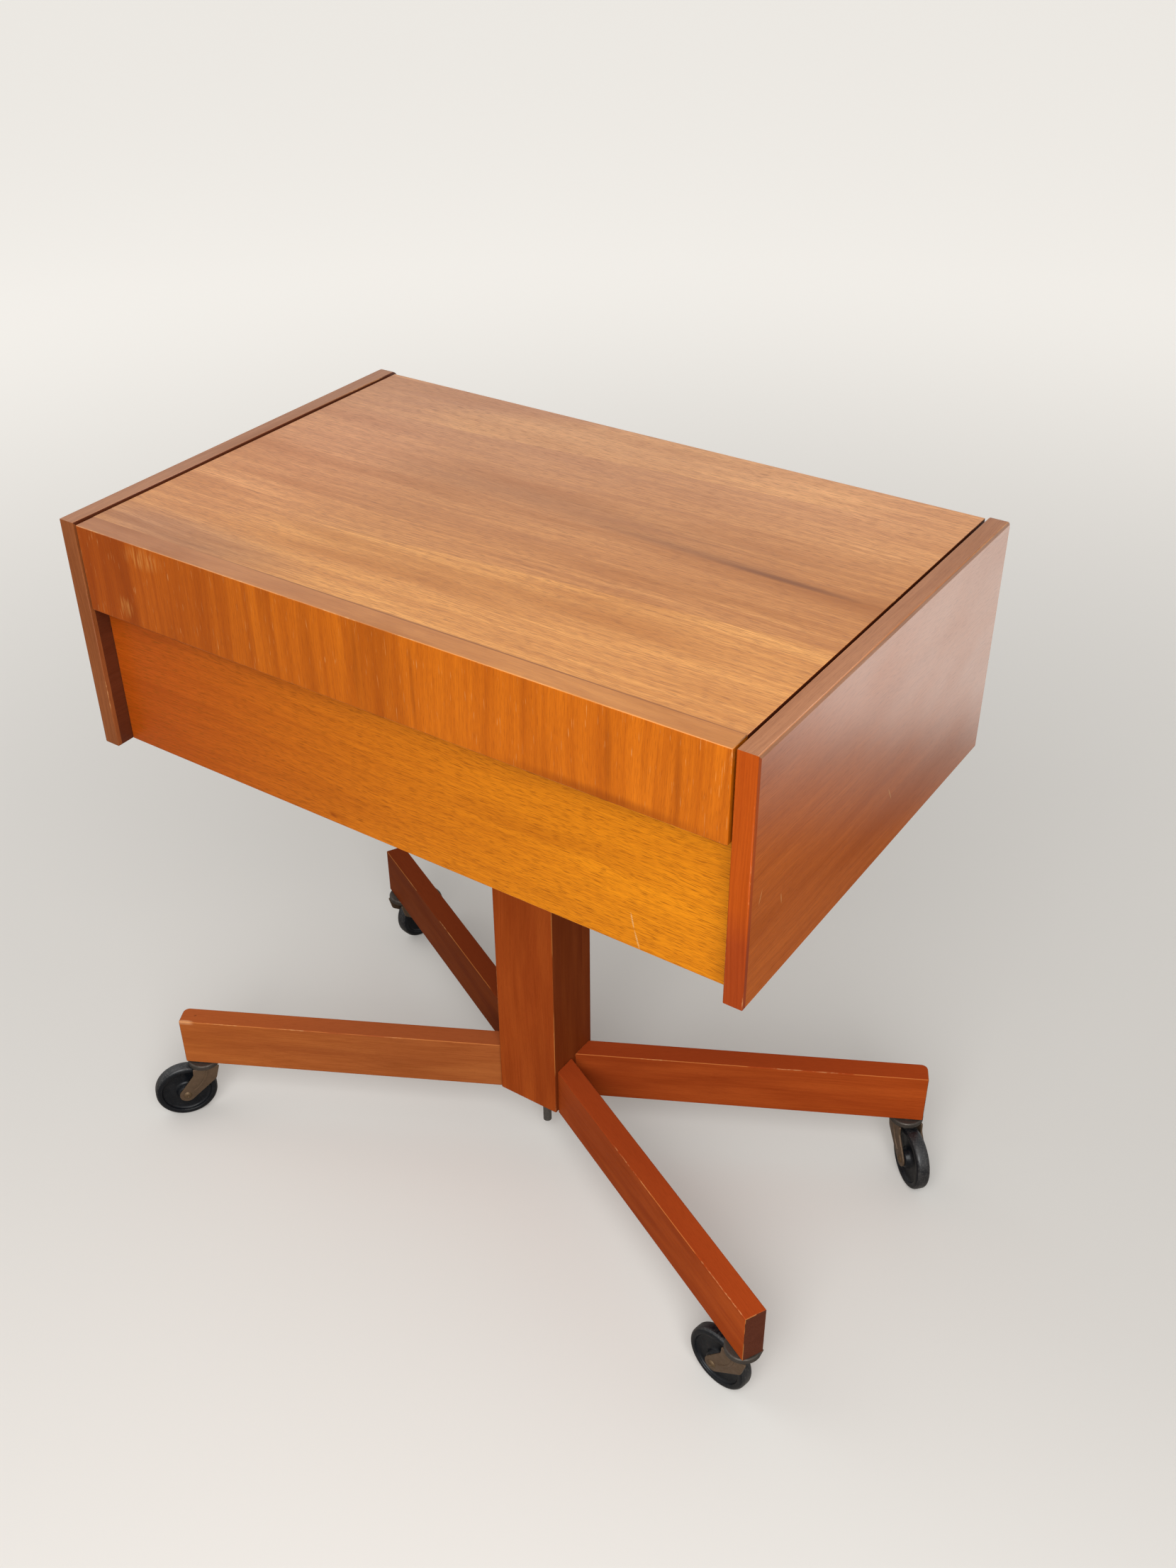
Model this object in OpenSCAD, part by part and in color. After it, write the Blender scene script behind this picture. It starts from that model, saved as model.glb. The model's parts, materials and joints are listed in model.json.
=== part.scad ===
// Sewing table: a lidded case with a sliding tray, on a pedestal with four splayed feet and castors.
// X runs along the front, Y towards the back and Z up. The origin is on the floor, under the pedestal.

/* [Case] */
// Width over the side panels
case_w = 600; // [520:1:720]
// Depth of the side panels
case_d = 384; // [340:1:460]
// Height of the side panels
case_h = 199; // [190:1:260]
// Height of the case's lower edge above the floor
case_z = 452; // [380:1:560]
// Thickness of the side panels
side_t = 15; // [12:0.5:19]
// Thickness of the solid lipping on the side panels' front and top edges
lipping_t = 4; // [2:0.5:6]
// Radius of the side panels' upper back corners
corner_r = 7; // [3:0.5:12]
// Thickness of the lower front panel
front_t = 12; // [9:0.5:16]
// Thickness of the back panel
back_t = 12; // [11.5:0.5:16]
// How far the back panel stands in from the side panels' back edges
back_inset = 6.5; // [6.2:0.1:9]
// Thickness of the bottom panel
bottom_t = 12; // [9:0.5:16]

/* [Lid] */
// Thickness of the lid
lid_t = 15; // [12:0.5:19]
// Gap between the lid and each side panel
lid_gap = 2.5; // [1:0.1:4]
// How far the lid's top lies below the side panels' top edges
lid_drop = 1; // [0:0.5:3]
// Height of the apron at the lid's front, from the lid's top
apron_h = 71; // [60:1:90]
// Thickness of the apron
apron_t = 15; // [12:0.5:16]
// Depth of the apron's solid top edge, in front of the lid panel
apron_top = 18; // [17:0.5:24]
// Clearance between the apron and the lower front panel
apron_gap = 1; // [0.6:0.1:2]

/* [Pedestal] */
// Width of the column, across the front
column_w = 63; // [56:1:80]
// Depth of the column
column_d = 59; // [56:1:80]
// Thickness of the column's boards
column_t = 13; // [10:0.5:15]
// Height of the column's lower end above the floor
column_z = 69; // [68:0.5:76]
// Diameter of the tie rod through the column
rod_d = 8; // [6:0.5:10]
// Height of the tie rod's lower end above the floor
rod_z = 18; // [12:1:50]

/* [Feet] */
// Length of a foot, along its middle
foot_l = 319; // [280:1:360]
// Width of a foot
foot_w = 20; // [18:0.5:24]
// Height of a foot
foot_h = 52; // [44:1:64]
// Angle that a foot splays from the X axis
foot_angle = 27.5; // [24:0.5:32]
// Distance of a foot's middle from the X axis where it meets the column
foot_y = 14.3; // [13.5:0.1:15]
// Radius of the worn end corner on two of the feet
worn_r = 6; // [1:0.5:8]

/* [Castors] */
// Diameter of the wheels
wheel_d = 60; // [50:1:60]
// Width of the wheels at the tread
wheel_w = 13; // [11:0.5:17]
// Distance of the axle behind the swivel axis
trail = 22; // [20:0.5:26]
// Height of the feet's underside above the floor
castor_h = 67; // [67:0.5:67.5]
// Distance of the swivel axis from a foot's end
castor_in = 14; // [11:0.5:20]

/* [Tray] */
// Depth of the sliding tray
tray_d = 168; // [120:1:168]
// Height of the tray
tray_h = 48; // [30:1:52]
// Thickness of the tray's rim strips and dividers
tray_t = 8; // [5:0.5:10]

/* [Hidden] */

// Case levels and inner faces
half_w = case_w / 2;
in_x = half_w - side_t;
front_y = -case_d / 2;
back_y = case_d / 2;
top_z = case_z + case_h;
lid_top_z = top_z - lid_drop;
lid_z = lid_top_z - lid_t;
front_face_y = front_y + apron_t + apron_gap;
front_in_y = front_face_y + front_t;
back_face_y = back_y - back_inset;
back_in_y = back_face_y - back_t;
panel_top_z = lid_z - 0.4;
bumper_t = 1.6;
front_top_z = panel_top_z - bumper_t + 0.1;
bottom_z = case_z + 12;
floor_z = bottom_z + bottom_t;
ease = 0.6;
// Lid
lid_w = 2 * (in_x - lid_gap);
lid_panel_y = front_y + apron_top;
apron_z = lid_top_z - apron_h;
// Hinges
hinge_r = 2.6;
hinge_pin_r = 1.2;
hinge_y = back_face_y + hinge_r + 0.4;
hinge_z = lid_z - 0.2;
hinge_l = 64;
knuckle_l = 21.4;
leaf_t = 1.4;
leaf_w = 11;
hinge_xs = [-0.32 * case_w, 0.32 * case_w];
hinge_screw_xs = [-22, 0, 22];
screw_y = hinge_y - hinge_r - 6;
// Tray
tray_gap = 2;
tray_lid_gap = 8;
tray_x = in_x - tray_gap;
tray_z = lid_z - tray_lid_gap - tray_h;
tray_front_y = front_in_y + 0.8;
tray_floor_t = 4;
runner_t = 12;
runner_top_z = tray_z - 0.3;
divider_xs = [-0.5 * tray_x, 0, 0.5 * tray_x];
peg_r = 2.5;
peg_h = 34;
// Pedestal
half_cw = column_w / 2;
half_cd = column_d / 2;
block_w = 150;
block_t = 24;
column_top_z = bottom_z - block_t;
block_screw = 58;
screw_r = 2;
rod_r = rod_d / 2;
rod_hole_r = rod_r + 0.3;
washer_t = 2;
nut_h = 6.5;
// Feet
foot_end = [half_cw, foot_y] + foot_l * [cos(foot_angle), sin(foot_angle)];
dowel_r = 4;
dowel_out = 30;
dowel_in = 17;
dowel_zs = [castor_h + 14, castor_h + foot_h - 14];
dowel_gap = 0.02;
// Castors: front left, front right, back left, back right
swivel_at = [half_cw, foot_y] + (foot_l - castor_in) * [cos(foot_angle), sin(foot_angle)];
CORNERS = [[-1, -1], [1, -1], [-1, 1], [1, 1]];
HEADINGS = [232, 168, 80, 317];
wheel_r = wheel_d / 2;
socket_r = 5.5;
kingpin_r = 4;
run = 0.05;
hood_r = 15.6;
hood_t = 1.2;
crown_r = hood_r - hood_t - 0.6;
crown_z = castor_h - 6.2;
crown_t = 1.8;
hood_z = crown_z + 0.2;
race_z = castor_h - 2.2;
ball_r = 0.95;
ball_ring_r = 10;
ball_count = 12;
cheek_in = 9.9;
cheek_t = 1.8;
axle_r = 2.5;
eye_r = 7.5;
cheek_half = 12.8;
cheek_z = hood_z - 0.6;
tab_half = 5.5;
tab_z = crown_z + 1;
rib_w = 2.6;
rib_t = 0.7;
hub_half = 9.5;

// ---- Shared shapes ----

// A rectangle with its corners cut by the easing
module eased_rect(a, b, e) {
    polygon([[e, 0], [a - e, 0], [a, e], [a, b - e], [a - e, b], [e, b], [0, b - e], [0, e]]);
}

// A board of the given size from the corner `at`, with every arris eased
module board(size, at = [0, 0, 0], e = ease) {
    translate(at) intersection() {
        linear_extrude(size.z) eased_rect(size.x, size.y, e);
        translate([0, size.y, 0]) rotate([90, 0, 0]) linear_extrude(size.y) eased_rect(size.x, size.z, e);
        rotate([90, 0, 90]) linear_extrude(size.x) eased_rect(size.y, size.z, e);
    }
}

// Extrudes an outline drawn in Y and Z along X
module along_x(x, length) {
    translate([x, 0, 0]) rotate([90, 0, 90]) linear_extrude(length) children();
}

// Points of an arc
function arc(c, r, a0, a1, n = 8) = [
    for (i = [0 : n]) let(a = a0 + (a1 - a0) * i / n) c + r * [cos(a), sin(a)]
];

// A countersunk screw with its head's face at z = 0, pointing down; `play` widens it into a hole
module screw(r, length, play = 0) {
    translate([0, 0, -r]) cylinder(h = r, r1 = r + play, r2 = 2 * r + play, $fn = 32);
    translate([0, 0, -length]) cylinder(h = length - r / 2, r = r + play, $fn = 32);
}

// ---- Case ----

module side_outline() {
    polygon(concat(
        [[front_y, case_z], [back_y, case_z]],
        arc([back_y - corner_r, top_z - corner_r], corner_r, 0, 90),
        arc([front_y + 1.5, top_z - 1.5], 1.5, 90, 180, 4)
    ));
}

module side_core() {
    intersection() {
        side_outline();
        translate([front_y + lipping_t, case_z]) square([case_d, case_h - lipping_t]);
    }
}

module side_panel(x) {
    color("sienna") along_x(x, side_t) side_core();
}

module side_lipping(x) {
    color("saddlebrown") along_x(x, side_t) difference() {
        side_outline();
        translate([front_y + lipping_t, case_z - 1]) square([case_d, case_h - lipping_t + 1]);
    }
}

module front_panel() {
    color("orange") board([2 * in_x, front_t, front_top_z - case_z], [-in_x, front_face_y, case_z]);
}

module back_panel() {
    color("sienna") difference() {
        board([2 * in_x, back_t, panel_top_z - case_z], [-in_x, back_in_y, case_z]);
        for (x = hinge_xs) {
            translate([x - hinge_l / 2, hinge_y - hinge_r - leaf_w, panel_top_z - leaf_t])
                cube([hinge_l, leaf_w + 10, leaf_t + 1]);
            for (dx = hinge_screw_xs) translate([x + dx, screw_y, hinge_z - 0.2]) screw(1.5, 10, dowel_gap);
        }
    }
}

module bottom_panel() {
    color("peru") difference() {
        board([2 * in_x, back_in_y - front_in_y, bottom_t], [-in_x, front_in_y, bottom_z]);
        translate([0, 0, bottom_z - 1]) cylinder(h = bottom_t + 2, r = rod_hole_r, $fn = 48);
        block_screw_places() screw(screw_r, 30, dowel_gap);
    }
}

module bottom_cleats() {
    color("peru") for (s = [-1, 1])
        board(
            [14, back_in_y - front_in_y - 40, 12 - ease],
            [s * (in_x - 7) - 7, front_in_y + 20, case_z + ease]
        );
}

module glue_blocks() {
    color("peru") for (x = [-in_x, in_x - 16], y = [front_in_y, back_in_y - 16])
        board([16, 16, 60], [x, y, floor_z]);
}

module tray_runner(x) {
    color("peru")
        board([runner_t, back_in_y - front_in_y, runner_t], [x, front_in_y, runner_top_z - runner_t]);
}

module lid_bumpers() {
    color("darkgreen") for (s = [-1, 1]) translate([s * (in_x - 30), front_face_y + front_t / 2, front_top_z])
        cylinder(h = bumper_t, r = 4.5, $fn = 32);
}

// ---- Lid and hinges ----

module lid_panel() {
    color("chocolate") difference() {
        board([lid_w, back_face_y - lid_panel_y, lid_t], [-lid_w / 2, lid_panel_y, lid_z]);
        for (x = hinge_xs) {
            translate([x - hinge_l / 2, hinge_y - hinge_r - leaf_w, lid_z - 1])
                cube([hinge_l, leaf_w + 10, leaf_t + 1]);
            for (dx = hinge_screw_xs)
                translate([x + dx, screw_y, hinge_z + 0.2]) mirror([0, 0, 1]) screw(1.5, 10, dowel_gap);
        }
    }
}

module lid_apron() {
    color("darkorange") along_x(-lid_w / 2, lid_w) polygon(concat(
        [[front_y + ease, apron_z], [front_y + apron_t - ease, apron_z],
         [front_y + apron_t, apron_z + ease], [front_y + apron_t, lid_z],
         [front_y + apron_top, lid_z], [front_y + apron_top, lid_top_z]],
        arc([front_y + 1.5, lid_top_z - 1.5], 1.5, 90, 180, 4),
        [[front_y, apron_z + ease]]
    ));
}

// A leaf of a hinge centred on x: s is 1 for the lid's leaf and -1 for the case's
module hinge_leaf(x, s) {
    plate_y = hinge_y - hinge_r - 0.35;
    knuckles = s > 0 ? [0] : [-knuckle_l, knuckle_l];
    leaf_z = s > 0 ? hinge_z + 0.2 : hinge_z - 0.2 - leaf_t;
    difference() {
        union() {
            translate([x - hinge_l / 2, plate_y - leaf_w + 0.35, leaf_z])
                cube([hinge_l, leaf_w - 0.35, leaf_t]);
            for (k = knuckles) translate([x + k - knuckle_l / 2 + 0.15, 0, 0]) {
                translate([0, hinge_y, hinge_z]) rotate([0, 90, 0])
                    cylinder(h = knuckle_l - 0.3, r = hinge_r, $fn = 48);
                translate([0, plate_y - 1, leaf_z])
                    cube([knuckle_l - 0.3, hinge_y - plate_y + 1, leaf_t]);
            }
        }
        translate([x - hinge_l, hinge_y, hinge_z]) rotate([0, 90, 0])
            cylinder(h = 2 * hinge_l, r = hinge_pin_r + (s > 0 ? run : dowel_gap), $fn = 48);
        for (dx = hinge_screw_xs) translate([x + dx, screw_y, hinge_z + s * 0.2])
            mirror([0, 0, s > 0 ? 1 : 0]) screw(1.5, 10, dowel_gap);
    }
}

module hinge_screws(s) {
    color("goldenrod") for (x = hinge_xs, dx = hinge_screw_xs)
        translate([x + dx, screw_y, hinge_z + s * 0.2]) mirror([0, 0, s > 0 ? 1 : 0]) screw(1.5, 10);
}

module hinge_leaves(s) {
    color("goldenrod") for (x = hinge_xs) hinge_leaf(x, s);
}

module hinge_pins() {
    color("goldenrod") for (x = hinge_xs) translate([x - hinge_l / 2, hinge_y, hinge_z]) rotate([0, 90, 0])
        cylinder(h = hinge_l, r = hinge_pin_r, $fn = 48);
}

// ---- Tray ----

module tray_end(x) {
    color("burlywood") board([tray_t, tray_d, tray_h], [x, tray_front_y, tray_z]);
}

module tray_rim(y) {
    color("burlywood") board([2 * (tray_x - tray_t), tray_t, tray_h], [tray_t - tray_x, y, tray_z]);
}

module tray_bottom() {
    color("wheat") board(
        [2 * (tray_x - tray_t), tray_d - 2 * tray_t, tray_floor_t],
        [tray_t - tray_x, tray_front_y + tray_t, tray_z + 2], 0.2);
}

module tray_dividers() {
    z = tray_z + 2 + tray_floor_t;
    color("burlywood") for (x = divider_xs)
        board([5, tray_d - 2 * tray_t, tray_h - 10], [x - 2.5, tray_front_y + tray_t, z]);
}

module reel_pegs() {
    z = tray_z + 2 + tray_floor_t;
    bay = 0.5 * tray_x - tray_t;
    color("burlywood") for (i = [0 : 3], j = [0.22, 0.78])
        translate([0.5 * tray_x + bay * (i + 0.5) / 4, tray_front_y + tray_d * j, z]) {
            cylinder(h = peg_h - peg_r, r = peg_r, $fn = 32);
            translate([0, 0, peg_h - peg_r]) sphere(r = peg_r, $fn = 32);
        }
}

// ---- Pedestal ----

module block_screw_places() {
    for (s = [-1, 1], t = [-1, 1]) translate([s * block_screw, t * block_screw, floor_z]) children();
}

module block_screws() {
    color("silver") block_screw_places() screw(screw_r, 30);
}

module mounting_block() {
    color("peru") difference() {
        board([block_w, block_w, block_t], [-block_w / 2, -block_w / 2, column_top_z], 3);
        translate([0, 0, column_top_z - 1]) cylinder(h = block_t + 2, r = rod_hole_r, $fn = 48);
        block_screw_places() screw(screw_r, 30, dowel_gap);
    }
}

// A wide board of the column, on the front or the back
module column_face(y) {
    color("brown") difference() {
        board([column_w, column_t, column_top_z - column_z], [-half_cw, y, column_z]);
        dowel_places() dowel(dowel_gap);
    }
}

// A narrow board between the two wide ones; s is its side
module column_cheek(s) {
    inner_d = column_d - 2 * column_t;
    color("maroon") difference() {
        board(
            [column_t, inner_d, column_top_z - column_z],
            [s > 0 ? half_cw - column_t : -half_cw, -inner_d / 2, column_z], 0.2
        );
        dowel_places() dowel(dowel_gap);
    }
}

module foot_block() {
    w = column_w - 2 * column_t;
    d = column_d - 2 * column_t;
    color("peru") difference() {
        board([w, d, foot_h + 8], [-w / 2, -d / 2, column_z]);
        translate([0, 0, column_z - 1]) cylinder(h = foot_h + 10, r = rod_hole_r, $fn = 48);
        dowel_places() dowel(dowel_gap);
    }
}

module tie_rod() {
    top = floor_z + washer_t + nut_h + 4;
    color("dimgray") {
        translate([0, 0, rod_z + 1.5]) cylinder(h = top - rod_z - 1.5, r = rod_r, $fn = 48);
        translate([0, 0, rod_z]) cylinder(h = 1.5, r1 = rod_r - 1.5, r2 = rod_r, $fn = 48);
    }
}

module tie_nuts() {
    color("gray") for (z = [floor_z + washer_t, column_z - washer_t - nut_h])
        translate([0, 0, z]) difference() {
            cylinder(h = nut_h, r = 1.85 * rod_r, $fn = 6);
            translate([0, 0, -1]) cylinder(h = nut_h + 2, r = rod_r + dowel_gap, $fn = 48);
        }
}

module tie_washers() {
    color("silver") for (z = [floor_z, column_z - washer_t]) translate([0, 0, z]) difference() {
        cylinder(h = washer_t, r = 3 * rod_r, $fn = 64);
        translate([0, 0, -1]) cylinder(h = washer_t + 2, r = rod_hole_r, $fn = 48);
    }
}

// ---- Feet ----

// Plan of a foot on the +X, +Y side; worn is 1 or -1 for a rounded end corner and 0 for none
function foot_plan(worn) = let(
    u = [cos(foot_angle), sin(foot_angle)],
    v = [-sin(foot_angle), cos(foot_angle)],
    h = foot_w / 2,
    e1 = foot_end + h * v,
    e2 = foot_end - h * v
) concat(
    [[half_cw, foot_y + h / cos(foot_angle)], [half_cw, foot_y - h / cos(foot_angle)]],
    worn < 0 ? arc(e2 - worn_r * (u - v), worn_r, foot_angle - 90, foot_angle) : [e2],
    worn > 0 ? arc(e1 - worn_r * (u + v), worn_r, foot_angle, foot_angle + 90) : [e1]
);

// Puts its children at a corner of the object, mirrored from the +X, +Y one
module at_corner(c) {
    mirror([c.x < 0 ? 1 : 0, 0, 0]) mirror([0, c.y < 0 ? 1 : 0, 0]) children();
}

module dowel_places() {
    for (c = CORNERS) at_corner(c) for (z = dowel_zs)
        translate([half_cw, foot_y, z]) rotate([0, 0, foot_angle]) children();
}

module dowel(play = 0) {
    translate([-dowel_in - play, 0, 0]) rotate([0, 90, 0])
        cylinder(h = dowel_in + dowel_out + 2 * play, r = dowel_r + play, $fn = 32);
}

module foot_dowels() {
    color("wheat") dowel_places() dowel();
}

module foot(c, worn) {
    color("brown") difference() {
        at_corner(c) translate([0, 0, castor_h]) linear_extrude(foot_h) polygon(foot_plan(worn));
        dowel_places() dowel(dowel_gap);
        at_corner(c) translate([swivel_at.x, swivel_at.y, castor_h - 1])
            cylinder(h = 40, r = socket_r + dowel_gap, $fn = 48);
    }
}

// ---- Castors ----

module swivel_places() {
    for (c = CORNERS) translate([c.x * swivel_at.x, c.y * swivel_at.y, 0]) children();
}

// Steel sleeve pressed into the foot, with a flange under it
module castor_sockets() {
    color("silver") swivel_places() translate([0, 0, castor_h - 1]) difference() {
        union() {
            cylinder(h = 1, r = 8.8, $fn = 48);
            cylinder(h = 38, r = socket_r, $fn = 48);
        }
        translate([0, 0, -1]) cylinder(h = 50, r = kingpin_r + dowel_gap, $fn = 48);
    }
}

// The pin that holds a castor in its sleeve, with the hood that covers the balls and is their upper race
module castor_kingpins() {
    color("silver") swivel_places() rotate_extrude($fn = 64) polygon([
        [0, crown_z - 3.6], [4.6, crown_z - 3.6], [6, crown_z - 2.4], [6, crown_z - 0.5],
        [kingpin_r, crown_z - 0.5], [kingpin_r, race_z],
        [hood_r - hood_t, race_z], [hood_r - hood_t, hood_z], [hood_r, hood_z],
        [hood_r, castor_h - 2.4], [hood_r - 0.4, castor_h - 1.5], [hood_r - 1.4, castor_h - 1],
        [kingpin_r, castor_h - 1], [kingpin_r, castor_h + 34],
        [kingpin_r - 1, castor_h + 35], [0, castor_h + 35]
    ]);
}

module castor_balls() {
    color("white") swivel_places() for (i = [0 : ball_count - 1]) rotate([0, 0, 360 * i / ball_count])
        translate([ball_ring_r, 0, race_z - ball_r]) sphere(r = ball_r, $fn = 20);
}

// Puts its children on the castor of corner i: the swivel axis at the origin, +X towards the axle
module at_castor(i) {
    c = CORNERS[i];
    translate([c.x * swivel_at.x, c.y * swivel_at.y, 0]) rotate([0, 0, HEADINGS[i]]) children();
}

// Direction from the axle to where a line from the point p touches the eye, on its side s
function touch(p, s) = let(d = p - [trail, wheel_r]) atan2(d.y, d.x) + s * acos(eye_r / norm(d));

// Points of the arc that rounds the corner v between its neighbours a and b
function rounded(a, v, b, r) = let(
    u = (a - v) / norm(a - v),
    w = (b - v) / norm(b - v),
    half = acos(u * w) / 2,
    c = v + (u + w) / norm(u + w) * r / sin(half),
    s = v + u * r / tan(half) - c,
    e = v + w * r / tan(half) - c,
    a0 = atan2(s.y, s.x),
    turn = (atan2(e.y, e.x) - a0 + 540) % 360 - 180
) arc(c, r, a0, a0 + turn, 6);

// Outline of a fork's cheek, in the wheel's plane: a tab under the hood, a broad shoulder and the eye
module cheek_outline() {
    heel = [-8.5, cheek_z - 15.5];
    throat = [cheek_half + 0.6, cheek_z - 8];
    eye = arc([trail, wheel_r], eye_r, touch(heel, 1), touch(throat, -1) + 360, 24);
    polygon(concat(
        [[tab_half, tab_z], [-tab_half, tab_z], [-tab_half, cheek_z]],
        rounded([-tab_half, cheek_z], [-cheek_half, cheek_z], heel, 1),
        rounded([-cheek_half, cheek_z], heel, eye[0], 6),
        eye,
        rounded(eye[24], throat, [cheek_half, cheek_z], 5),
        rounded(throat, [cheek_half, cheek_z], [tab_half, cheek_z], 1),
        [[tab_half, cheek_z]]
    ));
}

// Middle line of the rib pressed into a cheek, from 0 at its top to 1 near the eye
function rib_at(t) = let(
    a = [-0.5, cheek_z - 3.5],
    b = [2.2, cheek_z - 18],
    c = [trail - 7.2, wheel_r + 4.6]
) (1 - t) * (1 - t) * a + 2 * t * (1 - t) * b + t * t * c;

// Outline of the rib, with its two ends cut square
module rib_outline() {
    steps = 10;
    side = [for (i = [0 : steps]) let(
        t = i / steps,
        d = rib_at(t + 0.01) - rib_at(t - 0.01)
    ) [-d.y, d.x] / norm(d) * rib_w / 2];
    polygon(concat(
        [for (i = [0 : steps]) rib_at(i / steps) + side[i]],
        [for (i = [steps : -1 : 0]) rib_at(i / steps) - side[i]]
    ));
}

// Pressed steel fork: a shallow pan for the balls and two ribbed cheeks down to the axle
module fork(i) {
    color("darkgoldenrod") at_castor(i) difference() {
        union() {
            rotate_extrude($fn = 64) polygon([
                [0, crown_z], [crown_r - 0.8, crown_z], [crown_r, crown_z + 0.8],
                [crown_r, crown_z + crown_t + 0.6], [crown_r - 1, crown_z + crown_t + 0.6],
                [crown_r - 1, crown_z + crown_t], [0, crown_z + crown_t]
            ]);
            for (s = [0, 1]) mirror([0, s, 0]) {
                translate([0, cheek_in + cheek_t, 0]) rotate([90, 0, 0])
                    linear_extrude(cheek_t) cheek_outline();
                translate([0, cheek_in + cheek_t + rib_t, 0]) rotate([90, 0, 0])
                    linear_extrude(rib_t + 0.1) rib_outline();
            }
        }
        translate([0, 0, crown_z - 20]) cylinder(h = 40, r = kingpin_r + run, $fn = 64);
        translate([trail, -20, wheel_r]) rotate([-90, 0, 0])
            cylinder(h = 40, r = axle_r + dowel_gap, $fn = 48);
    }
}

// Axle rivet with a domed head outside each cheek
module axle(i) {
    out = cheek_in + cheek_t;
    color("goldenrod") at_castor(i) translate([trail, 0, wheel_r]) rotate([90, 0, 0])
        rotate_extrude($fn = 48) polygon([
            [0, -out - 1.6], [2, -out - 1.5], [3.6, -out - 0.9], [4.2, -out], [axle_r, -out],
            [axle_r, out], [4.2, out], [3.6, out + 0.9], [2, out + 1.5], [0, out + 1.6]
        ]);
}

// Half of the wheel's section from the hub to the tread, as [radius, half width]
function wheel_half() = concat(
    [[axle_r + run, hub_half], [8, hub_half], [9.5, hub_half - 1.2], [10.5, 4], [12, 3.2],
     [wheel_r - 8.6, 3.2], [wheel_r - 7, 3.7], [wheel_r - 6.2, wheel_w / 2 - 1.4]],
    arc([wheel_r - 5, wheel_w / 2 - 1.2], 1.2, 175, 95, 4),
    arc([wheel_r - 4, wheel_w / 2 - 4], 4, 90, 15, 8),
    [[wheel_r, 1.5]]
);

// Dished wheel with a raised rim and hub
module wheel(i) {
    half = wheel_half();
    n = len(half);
    section = concat(half, [for (k = [n - 1 : -1 : 0]) [half[k].x, -half[k].y]]);
    color("black") at_castor(i) translate([trail, 0, wheel_r]) rotate([90, 0, 0])
        rotate_extrude($fn = 72) polygon(section);
}

side_panel(-half_w);  // side_panel_left
side_panel(in_x);  // side_panel_right
side_lipping(-half_w);  // side_lipping_left
side_lipping(in_x);  // side_lipping_right
front_panel();
back_panel();
bottom_panel();
bottom_cleats();
glue_blocks();
tray_runner(-in_x);  // tray_runner_left
tray_runner(in_x - runner_t);  // tray_runner_right
lid_bumpers();
lid_panel();
lid_apron();
hinge_leaves(1);  // hinge_leaves_lid
hinge_screws(1);  // hinge_screws_lid
hinge_leaves(-1);  // hinge_leaves_case
hinge_screws(-1);  // hinge_screws_case
hinge_pins();
tray_end(-tray_x);  // tray_end_left
tray_end(tray_x - tray_t);  // tray_end_right
tray_rim(tray_front_y);  // tray_rim_front
tray_rim(tray_front_y + tray_d - tray_t);  // tray_rim_back
tray_bottom();
tray_dividers();
reel_pegs();
mounting_block();
block_screws();
column_face(-half_cd);  // column_front_board
column_face(half_cd - column_t);  // column_back_board
column_cheek(-1);  // column_left_board
column_cheek(1);  // column_right_board
foot_block();
tie_rod();
tie_nuts();
tie_washers();
foot(CORNERS[0], -1);  // foot_front_left
foot(CORNERS[1], 0);  // foot_front_right
foot(CORNERS[2], 0);  // foot_back_left
foot(CORNERS[3], 1);  // foot_back_right
foot_dowels();
castor_sockets();
castor_kingpins();
castor_balls();
fork(0);  // fork_front_left
fork(1);  // fork_front_right
fork(2);  // fork_back_left
fork(3);  // fork_back_right
axle(0);  // axle_front_left
axle(1);  // axle_front_right
axle(2);  // axle_back_left
axle(3);  // axle_back_right
wheel(0);  // wheel_front_left
wheel(1);  // wheel_front_right
wheel(2);  // wheel_back_left
wheel(3);  // wheel_back_right
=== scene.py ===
"""Sewing table: a lidded case with a sliding tray on a pedestal with four splayed feet and castors.

Metres, X along the front to the right, Y towards the back and Z up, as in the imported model.
"""

import json
import math
from functools import partial

import bmesh
import bpy
from bpy.props import FloatProperty, FloatVectorProperty, IntProperty, PointerProperty
from mathutils import Matrix, Vector


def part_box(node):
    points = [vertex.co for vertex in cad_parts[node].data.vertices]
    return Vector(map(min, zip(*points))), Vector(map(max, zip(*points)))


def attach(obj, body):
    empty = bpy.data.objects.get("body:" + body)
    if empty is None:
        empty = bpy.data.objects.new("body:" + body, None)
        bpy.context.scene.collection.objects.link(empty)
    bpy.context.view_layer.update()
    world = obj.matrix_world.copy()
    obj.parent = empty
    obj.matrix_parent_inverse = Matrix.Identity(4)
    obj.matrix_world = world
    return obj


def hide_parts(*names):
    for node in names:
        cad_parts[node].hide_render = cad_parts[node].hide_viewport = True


bl_info = {
    "name": "Sewing table",
    "version": (1, 0, 0),
    "blender": (4, 5, 0),
    "location": "View3D > Sidebar > Sewing Table",
    "description": "Builds a wheeled sewing table around its packed CAD model",
    "category": "Object",
}

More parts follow.
